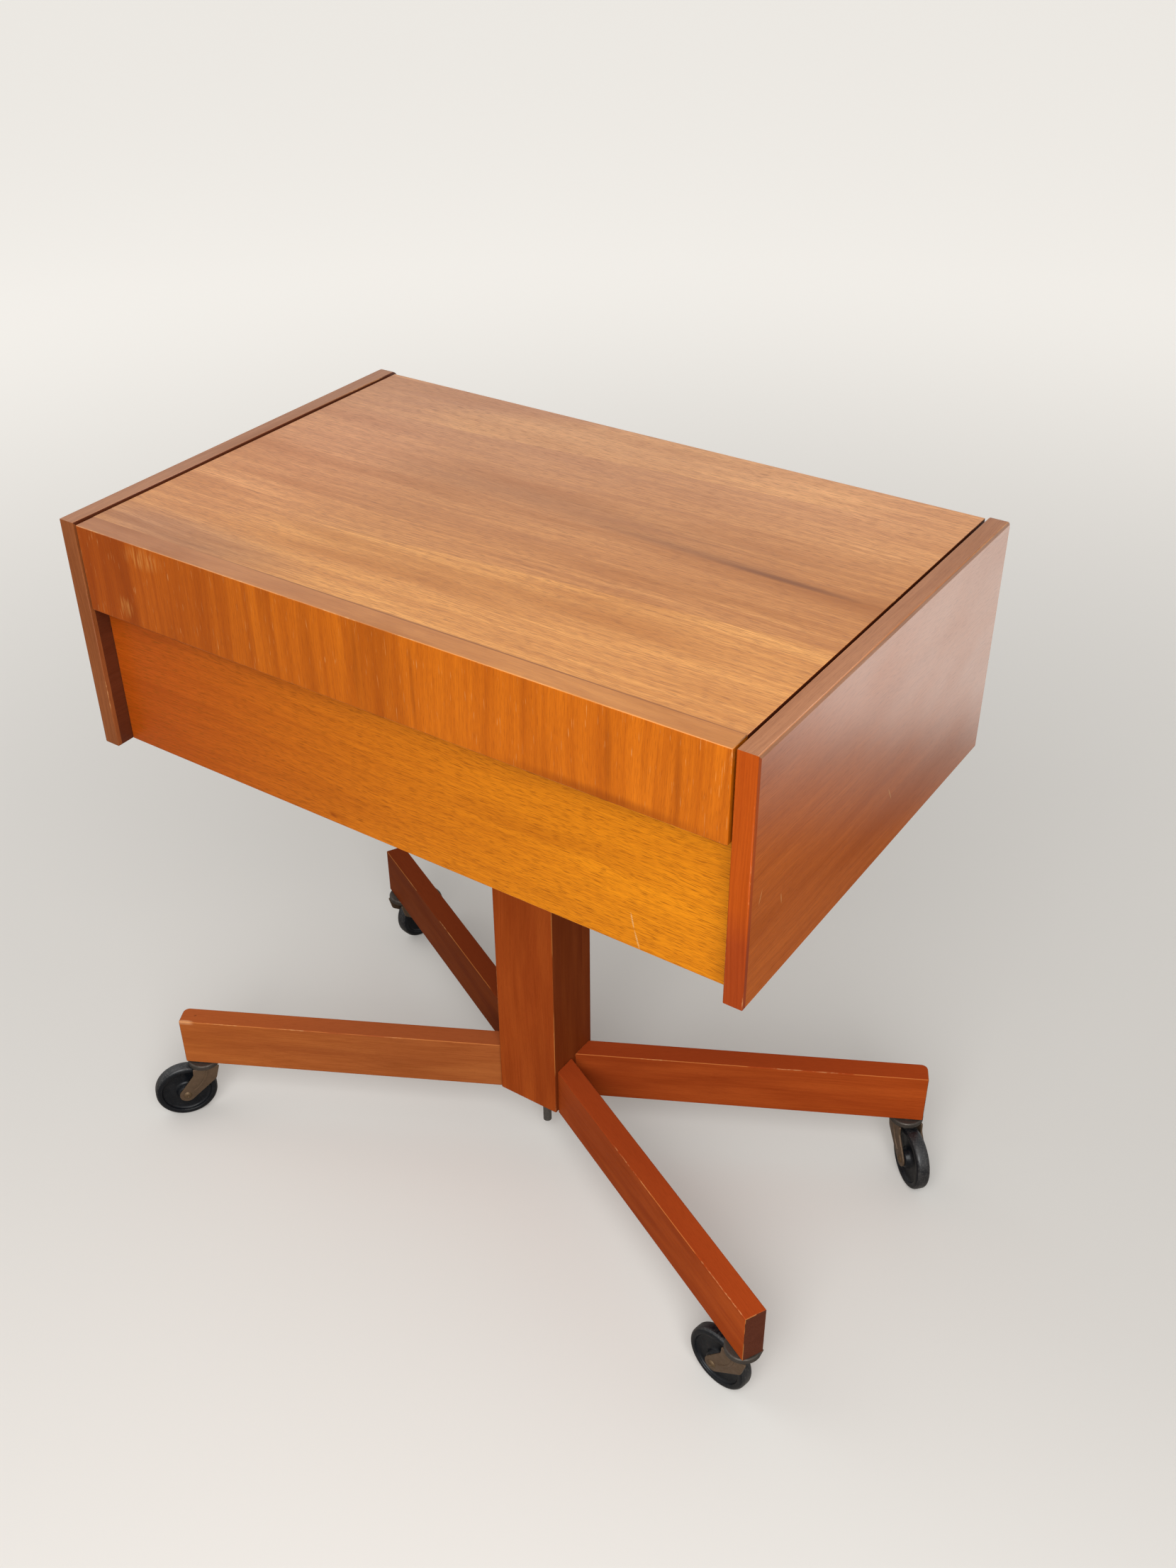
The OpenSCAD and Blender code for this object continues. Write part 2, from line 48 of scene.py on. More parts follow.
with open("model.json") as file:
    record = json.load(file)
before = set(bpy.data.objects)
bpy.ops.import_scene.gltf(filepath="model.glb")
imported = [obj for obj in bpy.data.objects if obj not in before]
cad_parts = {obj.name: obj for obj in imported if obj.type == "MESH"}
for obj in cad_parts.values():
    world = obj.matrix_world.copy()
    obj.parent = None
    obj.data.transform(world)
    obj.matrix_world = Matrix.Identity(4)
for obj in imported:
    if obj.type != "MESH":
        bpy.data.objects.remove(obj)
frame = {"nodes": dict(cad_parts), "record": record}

MM = 0.001
JOINTS = {joint["name"]: joint for joint in frame["record"]["behaviour"]["joints"]}
CORNERS = {"front_left": (-1, -1), "front_right": (1, -1), "back_left": (-1, 1), "back_right": (1, 1)}
X, Y, Z = Vector((1, 0, 0)), Vector((0, 1, 0)), Vector((0, 0, 1))

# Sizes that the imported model's boxes don't give
SIDE_CORNER = 0.007  # radius of the sides' upper back corners
FOOT_CORNER = 0.006  # radius of the rounded corner of two of the feet
FOOT_HALF = 0.010  # half of a foot's width
FOOT_REACH = 0.014  # from a castor's swivel axis to its foot's end
SPLAY = math.radians(27.5)  # angle between the feet and X
APRON_THICKNESS = 0.015  # of the apron below the lid
TREAD_RADIUS = 0.0285  # a wheel is scuffed beyond it
CORNER_STEPS = 8  # faces round a rounded corner of a board
RIVET_STEPS = 48  # faces round an axle rivet
PRESSED_STEPS = 64  # faces round a fork's pan and a castor's hood

ARRIS_ANGLE = 0.3  # radians; an edge where the faces turn by more is an arris
FACING = 0.6  # least dot product of a face's normal with the way that it looks
SAME_PLANE = 1e-5  # metres; points as close to a plane lie in it
SAME_POINT = 1e-7  # metres; points as close are one

THROUGH = 1e3  # a mask's depth, through the whole board
MIX_A, MIX_B, MIX_COLOUR = 6, 7, 2  # sockets of a Mix node for colours

SENSOR = 36.0  # millimetres
CAMERA_PLACE = (0.66104, -0.90497, 1.16853)
CAMERA_TURN = (54.2649, 0.7986, 34.4342)  # degrees
CAMERA_SHIFT = (0.0143, 0.0305)
LIT_POINT = Vector((0, 0, 0.45))  # both lights face it
WORLD_LIGHT = 0.42  # strength of the background as a light


def linear(code):
    """Linear red, green and blue of an sRGB hex colour."""
    parts = (int(code[i : i + 2], 16) / 255 for i in (1, 3, 5))
    return tuple(c / 12.92 if c <= 0.04045 else ((c + 0.055) / 1.055) ** 2.4 for c in parts)


def tone(colour, *factors):
    """A colour with its red, green and blue scaled, as a colour socket takes it."""
    return (*(min(1.0, c * f) for c, f in zip(colour, factors)), 1.0)


# ---- Settings ----


def colour_property(name, code, description):
    return FloatVectorProperty(
        name=name, description=description, default=linear(code), subtype="COLOR", size=3,
        min=0.0, max=1.0,
    )


def length_property(name, metres, description, low, high):
    return FloatProperty(
        name=name, description=description, default=metres, unit="LENGTH", subtype="DISTANCE",
        min=low, max=high,
    )


def power_property(name, watts, description):
    return FloatProperty(name=name, description=description, default=watts, unit="POWER", min=0.0)


class WoodSettings(bpy.types.PropertyGroup):
    arris: length_property("Arris radius", 0.0009, "Rounding of the boards' corners", 0.0002, 0.003)
    worn_strip: length_property("Worn strip", 0.0012, "How far in the finish rubs off", 0.001, 0.01)
    lid: colour_property("Lid veneer", "#D8914D", "Teak veneer of the lid's top")
    lid_edge: colour_property("Lid edge", "#C9823F", "Solid strip in front of the lid's veneer")
    apron: colour_property("Apron veneer", "#C7680F", "Teak veneer of the lid's front")
    front: colour_property("Front veneer", "#DE860E", "Teak veneer of the lower front")
    side: colour_property("Side veneer", "#C06222", "Teak veneer of the sides' outer faces")
    # Stain, and painted shade for the inside of the case and the gaps
    inner_stain_and_shade: colour_property("Side, inner face", "#5C2C18", "Stained veneer inside the sides, darkened by painted shade")
    lipping: colour_property("Right lipping", "#B04C10", "Solid teak front edge of the right side")
    # Paled with painted sheen
    lipping_top: colour_property("Top lippings", "#B27750", "Solid teak top edges of the sides")
    # Darkened with painted shade and greyed with painted sheen
    lipping_left: colour_property("Left lipping", "#94552E", "Solid teak front edge of the left side")
    stain: colour_property("Stained beech", "#A2461C", "The two feet on the right")
    # Painted sheen: the stain paled and greyed, for the front left foot
    stain_painted_sheen: colour_property("Stained beech, paled by painted sheen", "#A65B2E", "Front left foot")
    stain_dark: colour_property("Dark stained beech", "#A0471A", "Column")
    # Painted shade: the stain darkened, for the column's right faces and the back left foot
    stain_painted_shade: colour_property("Stained beech, darkened by painted shade", "#7D3817", "Column's right, back left foot")
    end_grain: colour_property("Stained end grain", "#5E3020", "Sawn ends of the feet")
    beech: colour_property("Beech", "#CFA272", "Tray and inner fittings")
    plywood: colour_property("Plywood", "#CFA074", "Bottom and back")
    bare: colour_property("Bare wood", "#DDAA72", "Wood where the finish is rubbed off")
    chip: colour_property("Chipped wood", "#E0A070", "Wood in a chip of the stain")
    # Painted reflection: a pale colour over the sides' upper back, standing in for the lacquer mirroring a
    # pale wall
    painted_reflection: colour_property("Painted reflection on the sides", "#E0A88D", "Pale painted reflection on the sides' upper back")


class MetalSettings(bpy.types.PropertyGroup):
    fork: colour_property("Bronze lacquer", "#67523E", "Lacquered steel of the castors' forks")
    rivet: colour_property("Rivet", "#6A563E", "Axle rivets")
    # Darkened with painted shade, for the shade under the feet
    hood: colour_property("Castor hood", "#504A44", "Dulled plating of hoods and kingpins, darkened by painted shade")
    # Darkened with painted shade
    zinc: colour_property("Zinc", "#7F7D7A", "Rod, nuts and screws")
    brass: colour_property("Brass", "#C09A52", "Hinges and their screws")
    ball: colour_property("Ball steel", "#C9CBCE", "Balls of the castors")


class CastorSettings(bpy.types.PropertyGroup):
    wheel: colour_property("Wheel", "#0B0E13", "Moulded wheels")
    dust: colour_property("Dust", "#6E6A66", "Dust and scuffs on the tread")
    steps: IntProperty(name="Steps", description="Faces round each wheel", default=96, min=24, max=256)


class FeltSettings(bpy.types.PropertyGroup):
    felt: colour_property("Felt", "#2C4030", "Pressed felt")
    fibre: colour_property("Felt fibre", "#4A6350", "Paler fibres in the felt")


class StageSettings(bpy.types.PropertyGroup):
    floor: colour_property("Floor", "#DAD7D2", "Plain floor")
    bounce: colour_property("Bounce", "#A39D95", "Floor as the table's surfaces see it")
    sky: colour_property("Background", "#E9E8E6", "Plain background")
    lens: FloatProperty(
        name="Lens", description="Focal length on a 36 mm sensor", default=37.246, unit="CAMERA",
        min=10.0, max=200.0,
    )
    key: power_property("Key light", 39.5, "Power of the large soft light")
    fill: power_property("Fill light", 14.0, "Power of the second light")


class TableSettings(bpy.types.PropertyGroup):
    wood: PointerProperty(type=WoodSettings)
    metal: PointerProperty(type=MetalSettings)
    castor: PointerProperty(type=CastorSettings)
    felt: PointerProperty(type=FeltSettings)
    stage: PointerProperty(type=StageSettings)


# ---- Shapes ----


def block(lo, hi):
    """A mesh of one box."""
    bm = bmesh.new()
    lo, hi = Vector(lo), Vector(hi)
    place = Matrix.Translation((lo + hi) / 2) @ Matrix.Diagonal((*(hi - lo), 1))
    bmesh.ops.create_cube(bm, size=1, matrix=place)
    return bm


def prism(outline, sweep):
    """A mesh of a flat outline, given as points in space, drawn out along a vector."""
    bm = bmesh.new()
    base = bm.faces.new([bm.verts.new(point) for point in outline])
    top = bmesh.ops.extrude_face_region(bm, geom=[base], use_keep_orig=True)
    moved = [v for v in top["geom"] if isinstance(v, bmesh.types.BMVert)]
    bmesh.ops.translate(bm, vec=sweep, verts=moved)
    bmesh.ops.recalc_face_normals(bm, faces=bm.faces)
    return bm


def turned(section, steps):
    """A mesh of a closed section, given as (radius, height), turned about Z."""
    bm = bmesh.new()
    points = [bm.verts.new((r, 0, z)) for r, z in section]
    edges = [bm.edges.new((a, b)) for a, b in zip(points, points[1:])]
    if section[0][0] > 0:
        edges.append(bm.edges.new((points[-1], points[0])))
    bmesh.ops.spin(
        bm, geom=points + edges, cent=(0, 0, 0), axis=(0, 0, 1), angle=math.tau, steps=steps,
        use_merge=True,
    )
    bmesh.ops.remove_doubles(bm, verts=bm.verts, dist=SAME_POINT)
    bmesh.ops.recalc_face_normals(bm, faces=bm.faces)
    return bm


def cut(bm, point, outward):
    """Takes away what lies beyond a plane and closes the mesh there."""
    found = bmesh.ops.bisect_plane(
        bm, geom=[*bm.verts, *bm.edges, *bm.faces], plane_co=point, plane_no=outward, clear_outer=True,
        dist=SAME_POINT,
    )
    rim = [e for e in found["geom_cut"] if isinstance(e, bmesh.types.BMEdge)]
    bmesh.ops.contextual_create(bm, geom=rim)
    bmesh.ops.recalc_face_normals(bm, faces=bm.faces)


def round_edges(bm, edges, radius, segments=3):
    """Rounds edges and gives the new faces."""
    return bmesh.ops.bevel(
        bm, geom=edges, offset=radius, offset_type="OFFSET", segments=segments, profile=0.5,
        affect="EDGES", material=-1, clamp_overlap=True,
    )["faces"]


def smooth(bm, limit=40):
    """Shades a mesh smooth, apart from its edges that are sharper than that many degrees."""
    for face in bm.faces:
        face.smooth = True
    for edge in bm.edges:
        edge.smooth = edge.calc_face_angle(0) < math.radians(limit)


def join(bm, other, *places):
    """Adds copies of another mesh, each moved by a matrix, and frees that mesh."""
    mesh = bpy.data.meshes.new("copy")
    other.to_mesh(mesh)
    other.free()
    for place in places:
        copy = mesh.copy()
        copy.transform(place)
        if place.is_negative:
            copy.flip_normals()
        bm.from_mesh(copy)
        bpy.data.meshes.remove(copy)
    bpy.data.meshes.remove(mesh)


def upright(bm, along, near):
    """Edges parallel to one axis whose middle is within 1 mm of a point, given as {axis: value}."""
    return [
        e for e in bm.edges
        if abs((e.verts[0].co - e.verts[1].co).normalized()[along]) > 0.999
        and all(abs((e.verts[0].co[k] + e.verts[1].co[k]) / 2 - v) < MM for k, v in near.items())
    ]


def finish_board(bm, wood, grain, joints=(), radius=None, start=(0, 0, 0), other=None):
    """Rounds a board's arrises and records where it wears and how its grain runs.

    grain holds three axes: along the grain, across it and through the board. joints are planes, as
    (point, normal), at which the board meets its neighbour flush, so that nothing is rounded there.
    start moves the grain, so that no two boards have the same. other is (direction, grain): the faces
    that look that way get the piece's second material and that grain.
    """
    bm.normal_update()
    sharp = [
        e for e in bm.edges
        if e.calc_face_angle(0) > ARRIS_ANGLE and not any(
            all(abs((v.co - point).dot(normal)) < SAME_PLANE for v in e.verts) for point, normal in joints
        )
    ]
    strips = set(round_edges(bm, sharp, radius or wood.arris))
    borders = {v for face in strips for v in face.verts}
    crests = {v for v in borders if all(face in strips for face in v.link_faces)}
    flats = [face for face in bm.faces if face not in strips]
    for face in bm.faces:
        face.smooth = face in strips
    for face in flats:
        lengths = [e.calc_length() for e in face.edges]
        # A strip inside an outline with a tiny edge would cross itself
        if min(lengths) > MM:
            narrow = 0.3 * face.calc_area() / max(lengths)
            rim = bmesh.ops.inset_individual(
                bm, faces=[face], thickness=min(wood.worn_strip, narrow), use_even_offset=True
            )
            strips.update(rim["faces"])
    bm.normal_update()
    wear = bm.loops.layers.float.new("wear")
    figure = bm.loops.layers.float_vector.new("grain")
    for face in bm.faces:
        looks_other_way = other and face.normal.dot(other[0]) > FACING
        face.material_index = 1 if looks_other_way else 0
        axes = other[1] if looks_other_way else grain
        for loop in face.loops:
            loop[wear] = (0.5 * (loop.vert in borders) + 0.5 * (loop.vert in crests)) * (face in strips)
            loop[figure] = [loop.vert.co.dot(axis) + shift for axis, shift in zip(axes, start)]


def arc(centre, radius, start, end, count):
    """Points of an arc, from one angle to another in degrees."""
    angles = [math.radians(start + (end - start) * i / count) for i in range(count + 1)]
    return [(centre[0] + radius * math.cos(a), centre[1] + radius * math.sin(a)) for a in angles]


def corner(before, at, after, radius, count=6):
    """Points that round a corner between its two neighbours."""
    before, at, after = Vector(before), Vector(at), Vector(after)
    one, two = (before - at).normalized(), (after - at).normalized()
    half = one.angle(two) / 2
    centre = at + (one + two).normalized() * radius / math.sin(half)
    start, end = (at + side * radius / math.tan(half) - centre for side in (one, two))
    return [centre + radius * start.slerp(end, i / count) for i in range(count + 1)]


def piece(name, bm, materials, body, slot, *nodes):
    """Makes the object of a finished mesh, in the place of its CAD nodes."""
    mesh = bpy.data.meshes.new(name)
    bm.to_mesh(mesh)
    bm.free()
    for material in materials if isinstance(materials, tuple) else (materials,):
        mesh.materials.append(material)
    made = bpy.data.objects.new(name, mesh)
    bpy.context.collection.objects.link(made)
    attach(made, body)
    if nodes:
        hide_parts(*nodes)
    return made


# ---- Castor shapes ----


def wheel_section():
    """A wheel's section: bore, hub, thin dished web and a rounded rim."""
    half = [
        (2.55, 9.5), (7.4, 9.5), (8.2, 9.2), (8.9, 8.2), (9.6, 5.2), (10.4, 4.0), (12.0, 3.3), (21.2, 3.1),
        (22.7, 3.5), (23.4, 4.3),
    ]
    half += arc((25.0, 5.2), 1.25, 175, 95, 5) + arc((26.0, 2.5), 4.0, 88, 15, 8) + [(30.0, 1.5)]
    points = half + [(r, -z) for r, z in reversed(half)]
    return [(r * MM, z * MM) for r, z in points]


def rivet_section():
    """An axle rivet: a shank between two domed heads, each with a dimple in its centre."""
    head = [(0, 12.7), (0.7, 12.8), (1.1, 13.3), (2.0, 13.2), (3.4, 12.7), (4.2, 11.75), (2.5, 11.7)]
    points = [(r, -z) for r, z in head] + [(r, z) for r, z in reversed(head)]
    return [(r * MM, z * MM) for r, z in points]


def kingpin_section():
    """A kingpin with the round hood that covers a castor's balls."""
    points = [
        (0, 57.2), (4.6, 57.2), (5.7, 57.9), (6.0, 58.5), (6.0, 60.2), (4.0, 60.3), (4.0, 64.8),
        (14.4, 64.8), (14.4, 61.2), (14.6, 61.0), (15.4, 61.0), (15.6, 61.2),
        *arc((13.9, 64.3), 1.7, 0, 90, 6),
        (4.0, 66.0), (4.0, 101.0), (3.0, 102.0), (0, 102.0),
    ]
    return [(r * MM, z * MM) for r, z in points]


def cheek_outline(axle):
    """A cheek's outline, with its broad shoulder, its narrowing arm and the eye round the axle."""
    heel, throat, eye = Vector((-0.0085, 0.0449)), Vector((0.0134, 0.0524)), 0.0075

    def touch(point, side):
        away = point - axle
        return math.degrees(math.atan2(away.y, away.x) + side * math.acos(eye / away.length))

    end = arc(axle, eye, touch(heel, 1), touch(throat, -1) + 360, 24)
    tab, top, left, right = 0.0055, 0.0618, Vector((-0.0128, 0.0604)), Vector((0.0128, 0.0604))
    return [
        (tab, top), (-tab, top), (-tab, left.y), *corner((-tab, left.y), left, heel, 0.001),
        *corner(left, heel, end[0], 0.006), *end, *corner(end[-1], throat, right, 0.005),
        *corner(throat, right, (tab, right.y), 0.001), (tab, right.y),
    ]


def rib_outline(axle, count=12):
    """The outline of the rib that is pressed into a cheek, from its shoulder to near the eye."""
    ends = Vector((-0.0005, 0.0569)), Vector((0.0022, 0.0424)), axle + Vector((-0.0072, 0.0046))
    one, two = [], []
    for i in range(count + 1):
        t = i / count
        point = (1 - t) ** 2 * ends[0] + 2 * t * (1 - t) * ends[1] + t * t * ends[2]
        along = (1 - t) * (ends[1] - ends[0]) + t * (ends[2] - ends[1])
        half = Vector((-along.y, along.x)).normalized() * 0.0013
        one.append(point + half)
        two.append(point - half)
    return one + two[::-1]


def fork_shape(axle):
    """A pressed fork that swivels about Z: a pan under the balls and two ribbed cheeks."""
    pan = [
        (4.05, 60.8), (13.0, 60.8), (13.5, 61.0), (13.8, 61.5), (13.8, 63.1), (13.7, 63.2), (12.9, 63.2),
        (12.8, 63.1), (12.8, 62.6), (4.05, 62.6),
    ]
    bm = turned([(r * MM, z * MM) for r, z in pan], PRESSED_STEPS)
    smooth(bm)
    for outline, depth, thick, radius, outer_only in (
        (cheek_outline(axle), 0.0099, 0.0018, 0.0004, False),
        (rib_outline(axle), 0.0116, 0.0008, 0.0006, True),
    ):
        plate = prism([(x, depth, z) for x, z in outline], (0, thick, 0))
        rims = [
            e for e in plate.edges
            if abs(e.verts[0].co.y - e.verts[1].co.y) < SAME_PLANE
            and not (outer_only and e.verts[0].co.y < depth + thick / 2)
        ]
        round_edges(plate, rims, radius)
        smooth(plate, 25)
        join(bm, plate, Matrix(), Matrix.Diagonal((1, -1, 1, 1)))
    return bm


# ---- Materials ----


def add(tree, kind, inputs=None, **settings):
    """Adds a node with its settings, and sets or links its inputs."""
    node = tree.nodes.new(kind)
    for name, value in settings.items():
        setattr(node, name, value)
    for key, value in (inputs or {}).items():
        if isinstance(value, bpy.types.NodeSocket):
            tree.links.new(value, node.inputs[key])
        else:
            node.inputs[key].default_value = value
    return node


def surface(name, colour, **inputs):
    """A new material and its Principled shader, with the given values on the shader's sockets."""
    material = bpy.data.materials.new(name)
    material.use_nodes = True
    tree = material.node_tree
    tree.nodes.clear()
    shader = add(tree, "ShaderNodeBsdfPrincipled", {"Base Color": colour, **inputs})
    add(tree, "ShaderNodeOutputMaterial", {"Surface": shader.outputs[0]})
    return material, tree, shader


def dress(tree, shader, colour, roughness, height, strength, depth):
    """Links a shader's colour and roughness, and gives it a relief of that depth in metres."""
    relief = {"Height": height, "Strength": strength, "Distance": depth}
    bump = add(tree, "ShaderNodeBump", relief)
    for socket, value in (("Base Color", colour), ("Roughness", roughness), ("Normal", bump.outputs[0])):
        tree.links.new(value, shader.inputs[socket])


def streaks(tree, at, length, width, low, high, shift=0.0, detail=2.0):
    """A mask of streaks along X, of about that length and width in metres.

    The noise gives 0 below low and 1 above high, and shift moves it to another place.
    """
    scaled = add(
        tree, "ShaderNodeMapping",
        {
            "Vector": at, "Location": (shift, shift * 1.7, shift * 0.6),
            "Scale": (1 / length, 1 / width, 1 / width),
        },
    )
    noise = add(tree, "ShaderNodeTexNoise", {"Vector": scaled.outputs[0], "Scale": 1.0, "Detail": detail})
    return add(
        tree, "ShaderNodeMapRange", {"Value": noise.outputs[0], "From Min": low, "From Max": high}
    ).outputs[0]


def patch(tree, at, centre, size, turn=0.0, core=0.3):
    """An oval of that half length and half width in metres, turned by degrees.

    It is 1 in its core, a share of the oval, and fades to 0 at its edge.
    """
    local = add(
        tree, "ShaderNodeMapping",
        {
            "Vector": at, "Location": (*centre, 0), "Rotation": (0, 0, math.radians(turn)),
            "Scale": (*size, THROUGH),
        },
        vector_type="TEXTURE",
    )
    away = add(tree, "ShaderNodeVectorMath", {0: local.outputs[0]}, operation="LENGTH")
    return add(
        tree, "ShaderNodeMapRange",
        {"Value": away.outputs["Value"], "From Min": core, "To Min": 1.0, "To Max": 0.0},
        interpolation_type="SMOOTHSTEP",
    ).outputs[0]


def beyond(tree, at, point, turn, soft):
    """A mask that rises from 0 to 1, over that depth in metres, behind a line through a point.

    The line runs along X, turned by degrees.
    """
    local = add(
        tree, "ShaderNodeMapping",
        {"Vector": at, "Location": (*point, 0), "Rotation": (0, 0, math.radians(turn))},
        vector_type="TEXTURE",
    )
    depth = add(tree, "ShaderNodeSeparateXYZ", {0: local.outputs[0]}).outputs[1]
    return add(
        tree, "ShaderNodeMapRange", {"Value": depth, "From Max": soft}, interpolation_type="SMOOTHSTEP"
    ).outputs[0]


def rise(tree, at, axis, start, end):
    """A mask that rises from 0 to 1 between two places along an axis."""
    place = add(tree, "ShaderNodeSeparateXYZ", {0: at}).outputs[axis]
    return add(tree, "ShaderNodeMapRange", {"Value": place, "From Min": start, "From Max": end}).outputs[0]


def overlap(tree, found, *masks):
    """A mask of the places where several masks, or a mask and its strength, come together."""
    for mask in masks:
        found = add(tree, "ShaderNodeMath", {0: found, 1: mask}, operation="MULTIPLY").outputs[0]
    return found


def paint(tree, under, layers):
    """Lays colours over each other, each through its mask and with its strength.

    A layer is mixed in, or tints what is under it where "MULTIPLY" comes fourth.
    """
    for colour, mask, strength, *blend in layers:
        under = add(
            tree, "ShaderNodeMix", {"Factor": overlap(tree, mask, strength), MIX_A: under, MIX_B: colour},
            data_type="RGBA", blend_type=blend[0] if blend else "MIX",
        ).outputs[MIX_COLOUR]
    return under


def timber(name, colour, wood, board=True, length=0.35, figure=1.0, fine=0.4, pores=0.5, worn=0.0,
           marks=None, shift=0.0, sheen=None, gloss=0.5, **inputs):
    """Wood with growth bands, fine lines and open pores, whose grain runs along X of its coordinates.

    figure, fine and pores say how strong the bands, the lines and the pores are, worn how much longer
    the rubbed stretches of the arrises are, and gloss how strongly the lacquer mirrors. A board carries
    its coordinates and its wear in attributes; a plain CAD part uses Object coordinates. marks is a
    function of the tree and the coordinates that gives more layers, and sheen one that gives the weight
    of a clear coat.
    """
    material, tree, shader = surface(name, (*colour, 1.0), **{"Specular IOR Level": gloss}, **inputs)
    if board:
        place = add(tree, "ShaderNodeAttribute", attribute_name="grain").outputs["Vector"]
    else:
        place = add(tree, "ShaderNodeTexCoord").outputs["Object"]
    # The grain wanders a few millimetres to each side over about 200 mm
    wander = add(tree, "ShaderNodeMapping", {"Vector": place, "Scale": (5.0, 12.0, 12.0)})
    wander = add(tree, "ShaderNodeTexNoise", {"Vector": wander.outputs[0], "Scale": 1.0, "Detail": 1.0})
    wander = add(
        tree, "ShaderNodeVectorMath", {0: wander.outputs["Color"], 1: (0.5, 0.5, 0.5)},
        operation="SUBTRACT",
    )
    at = add(
        tree, "ShaderNodeVectorMath", {0: wander.outputs[0], 1: (0.0, 0.018, 0.006), 2: place},
        operation="MULTIPLY_ADD",
    ).outputs[0]
    # Growth bands of every width from 45 mm down to 3 mm
    light = streaks(tree, at, length, 0.045, 0.48, 0.70, shift + 3.1, 4.0)
    dark = streaks(tree, at, length, 0.034, 0.50, 0.74, shift + 11.4, 4.0)
    # Earlywood and latewood stripes about 7 mm wide
    stripes = streaks(tree, at, 0.5 * length, 0.007, 0.40, 0.68, shift + 17.7, 3.0)
    # Growth lines about 1 mm apart
    lines = streaks(tree, at, 0.14, 0.0011, 0.40, 0.66, shift + 23.9, 2.0)
    # Pores are dashes about 5 mm long, drawn 0.4 mm wide so that they show
    dashes = streaks(tree, at, 0.009, 0.0004, 0.53, 0.66, shift + 41.7, 1.0)
    layers = [
        (tone(colour, 1.22, 1.34, 1.5), light, 0.7 * figure),
        (tone(colour, 0.55, 0.44, 0.36), dark, 0.75 * figure),
        (tone(colour, 0.72, 0.62, 0.52), stripes, 0.5 * figure),
        (tone(colour, 0.66, 0.55, 0.45), lines, fine),
    ]
    if marks:
        layers += marks(tree, place)
    layers.append((tone(colour, 0.36, 0.26, 0.20), dashes, pores))
    if board:
        rubbed = add(tree, "ShaderNodeAttribute", attribute_name="wear").outputs["Fac"]
        # A pale line on the crest, partly wear and partly painted highlight: thin for most of its length,
        # and wider over about 50 mm at a time
        line = streaks(tree, place, 0.12, 0.03, 0.30, 0.50, shift + 52.0, 2.0)
        crest_wear_and_highlight = overlap(tree, rubbed, line)
        crest_wear_and_highlight = add(tree, "ShaderNodeMapRange", {"Value": crest_wear_and_highlight, "From Min": 0.85}).outputs[0]
        layers.append((tone(wood.bare, 1.0, 0.72, 0.45), crest_wear_and_highlight, 0.45))
        stretch = streaks(tree, place, 0.05, 0.03, 0.38 - worn, 0.60 - worn, shift + 60.0, 1.0)
        # Chips in the finish are 4 mm by 1.5 mm, and half as bare between them
        chip = streaks(tree, place, 0.004, 0.0015, 0.35, 0.65, shift + 71.0)
        chip = add(tree, "ShaderNodeMath", {0: chip, 1: 0.5, 2: 0.5}, operation="MULTIPLY_ADD").outputs[0]
        bare = add(
            tree, "ShaderNodeMapRange",
            {"Value": overlap(tree, stretch, chip, rubbed), "From Min": 0.55, "From Max": 1.0},
        ).outputs[0]
        layers.append(((*wood.bare, 1.0), bare, 0.45))
    dull = add(tree, "ShaderNodeMapRange", {"Value": dark, "To Min": 0.34, "To Max": 0.46}).outputs[0]
    relief = add(tree, "ShaderNodeMath", {0: dashes, 1: -0.6, 2: lines}, operation="MULTIPLY_ADD")
    dress(tree, shader, paint(tree, (*colour, 1.0), layers), dull, relief.outputs[0], 0.12, 0.0003)
    if sheen:
        tree.links.new(sheen(tree, place), shader.inputs["Coat Weight"])
    return material


def metal(name, colour, roughness, dirt, metallic=1.0, **inputs):
    """Metal with a clouded finish, whose dull patches are about 6 mm across."""
    material, tree, shader = surface(name, (*colour, 1.0), Metallic=metallic, **inputs)
    place = add(tree, "ShaderNodeTexCoord").outputs["Object"]
    cloud = streaks(tree, place, 0.006, 0.006, 0.35, 0.70, 5.0, 4.0)
    speck = streaks(tree, place, 0.0014, 0.0014, 0.50, 0.70, 9.0, 2.0)
    layers = [(tone(colour, *dirt), cloud, 0.6), (tone(colour, 0.45, 0.42, 0.40), speck, 0.35)]
    dull = add(
        tree, "ShaderNodeMapRange", {"Value": cloud, "To Min": roughness, "To Max": roughness + 0.22}
    ).outputs[0]
    dress(tree, shader, paint(tree, (*colour, 1.0), layers), dull, speck, 0.15, 0.0002)
    return material


def wheel_material(name, castor, dusty, gloss):
    """Black moulded plastic with a low sheen, dulled by grey dust and scuffs."""
    material, tree, shader = surface(name, (*castor.wheel, 1.0), **{"Specular IOR Level": gloss})
    place = add(tree, "ShaderNodeTexCoord").outputs["Object"]
    dust = streaks(tree, place, 0.009, 0.009, 0.45, 0.75, 3.0, 5.0)
    scuff = streaks(tree, place, 0.0014, 0.0014, 0.50, 0.66, 8.0, 3.0)
    grey = (*castor.dust, 1.0)
    layers = [(grey, dust, 0.16 * dusty), (grey, scuff, 0.30 * dusty)]
    rough = add(tree, "ShaderNodeMapRange", {"Value": dust, "To Min": 0.32, "To Max": 0.60}).outputs[0]
    dress(tree, shader, paint(tree, (*castor.wheel, 1.0), layers), rough, scuff, 0.1, 0.0002)
    return material


# ---- Marks of wear and figure ----


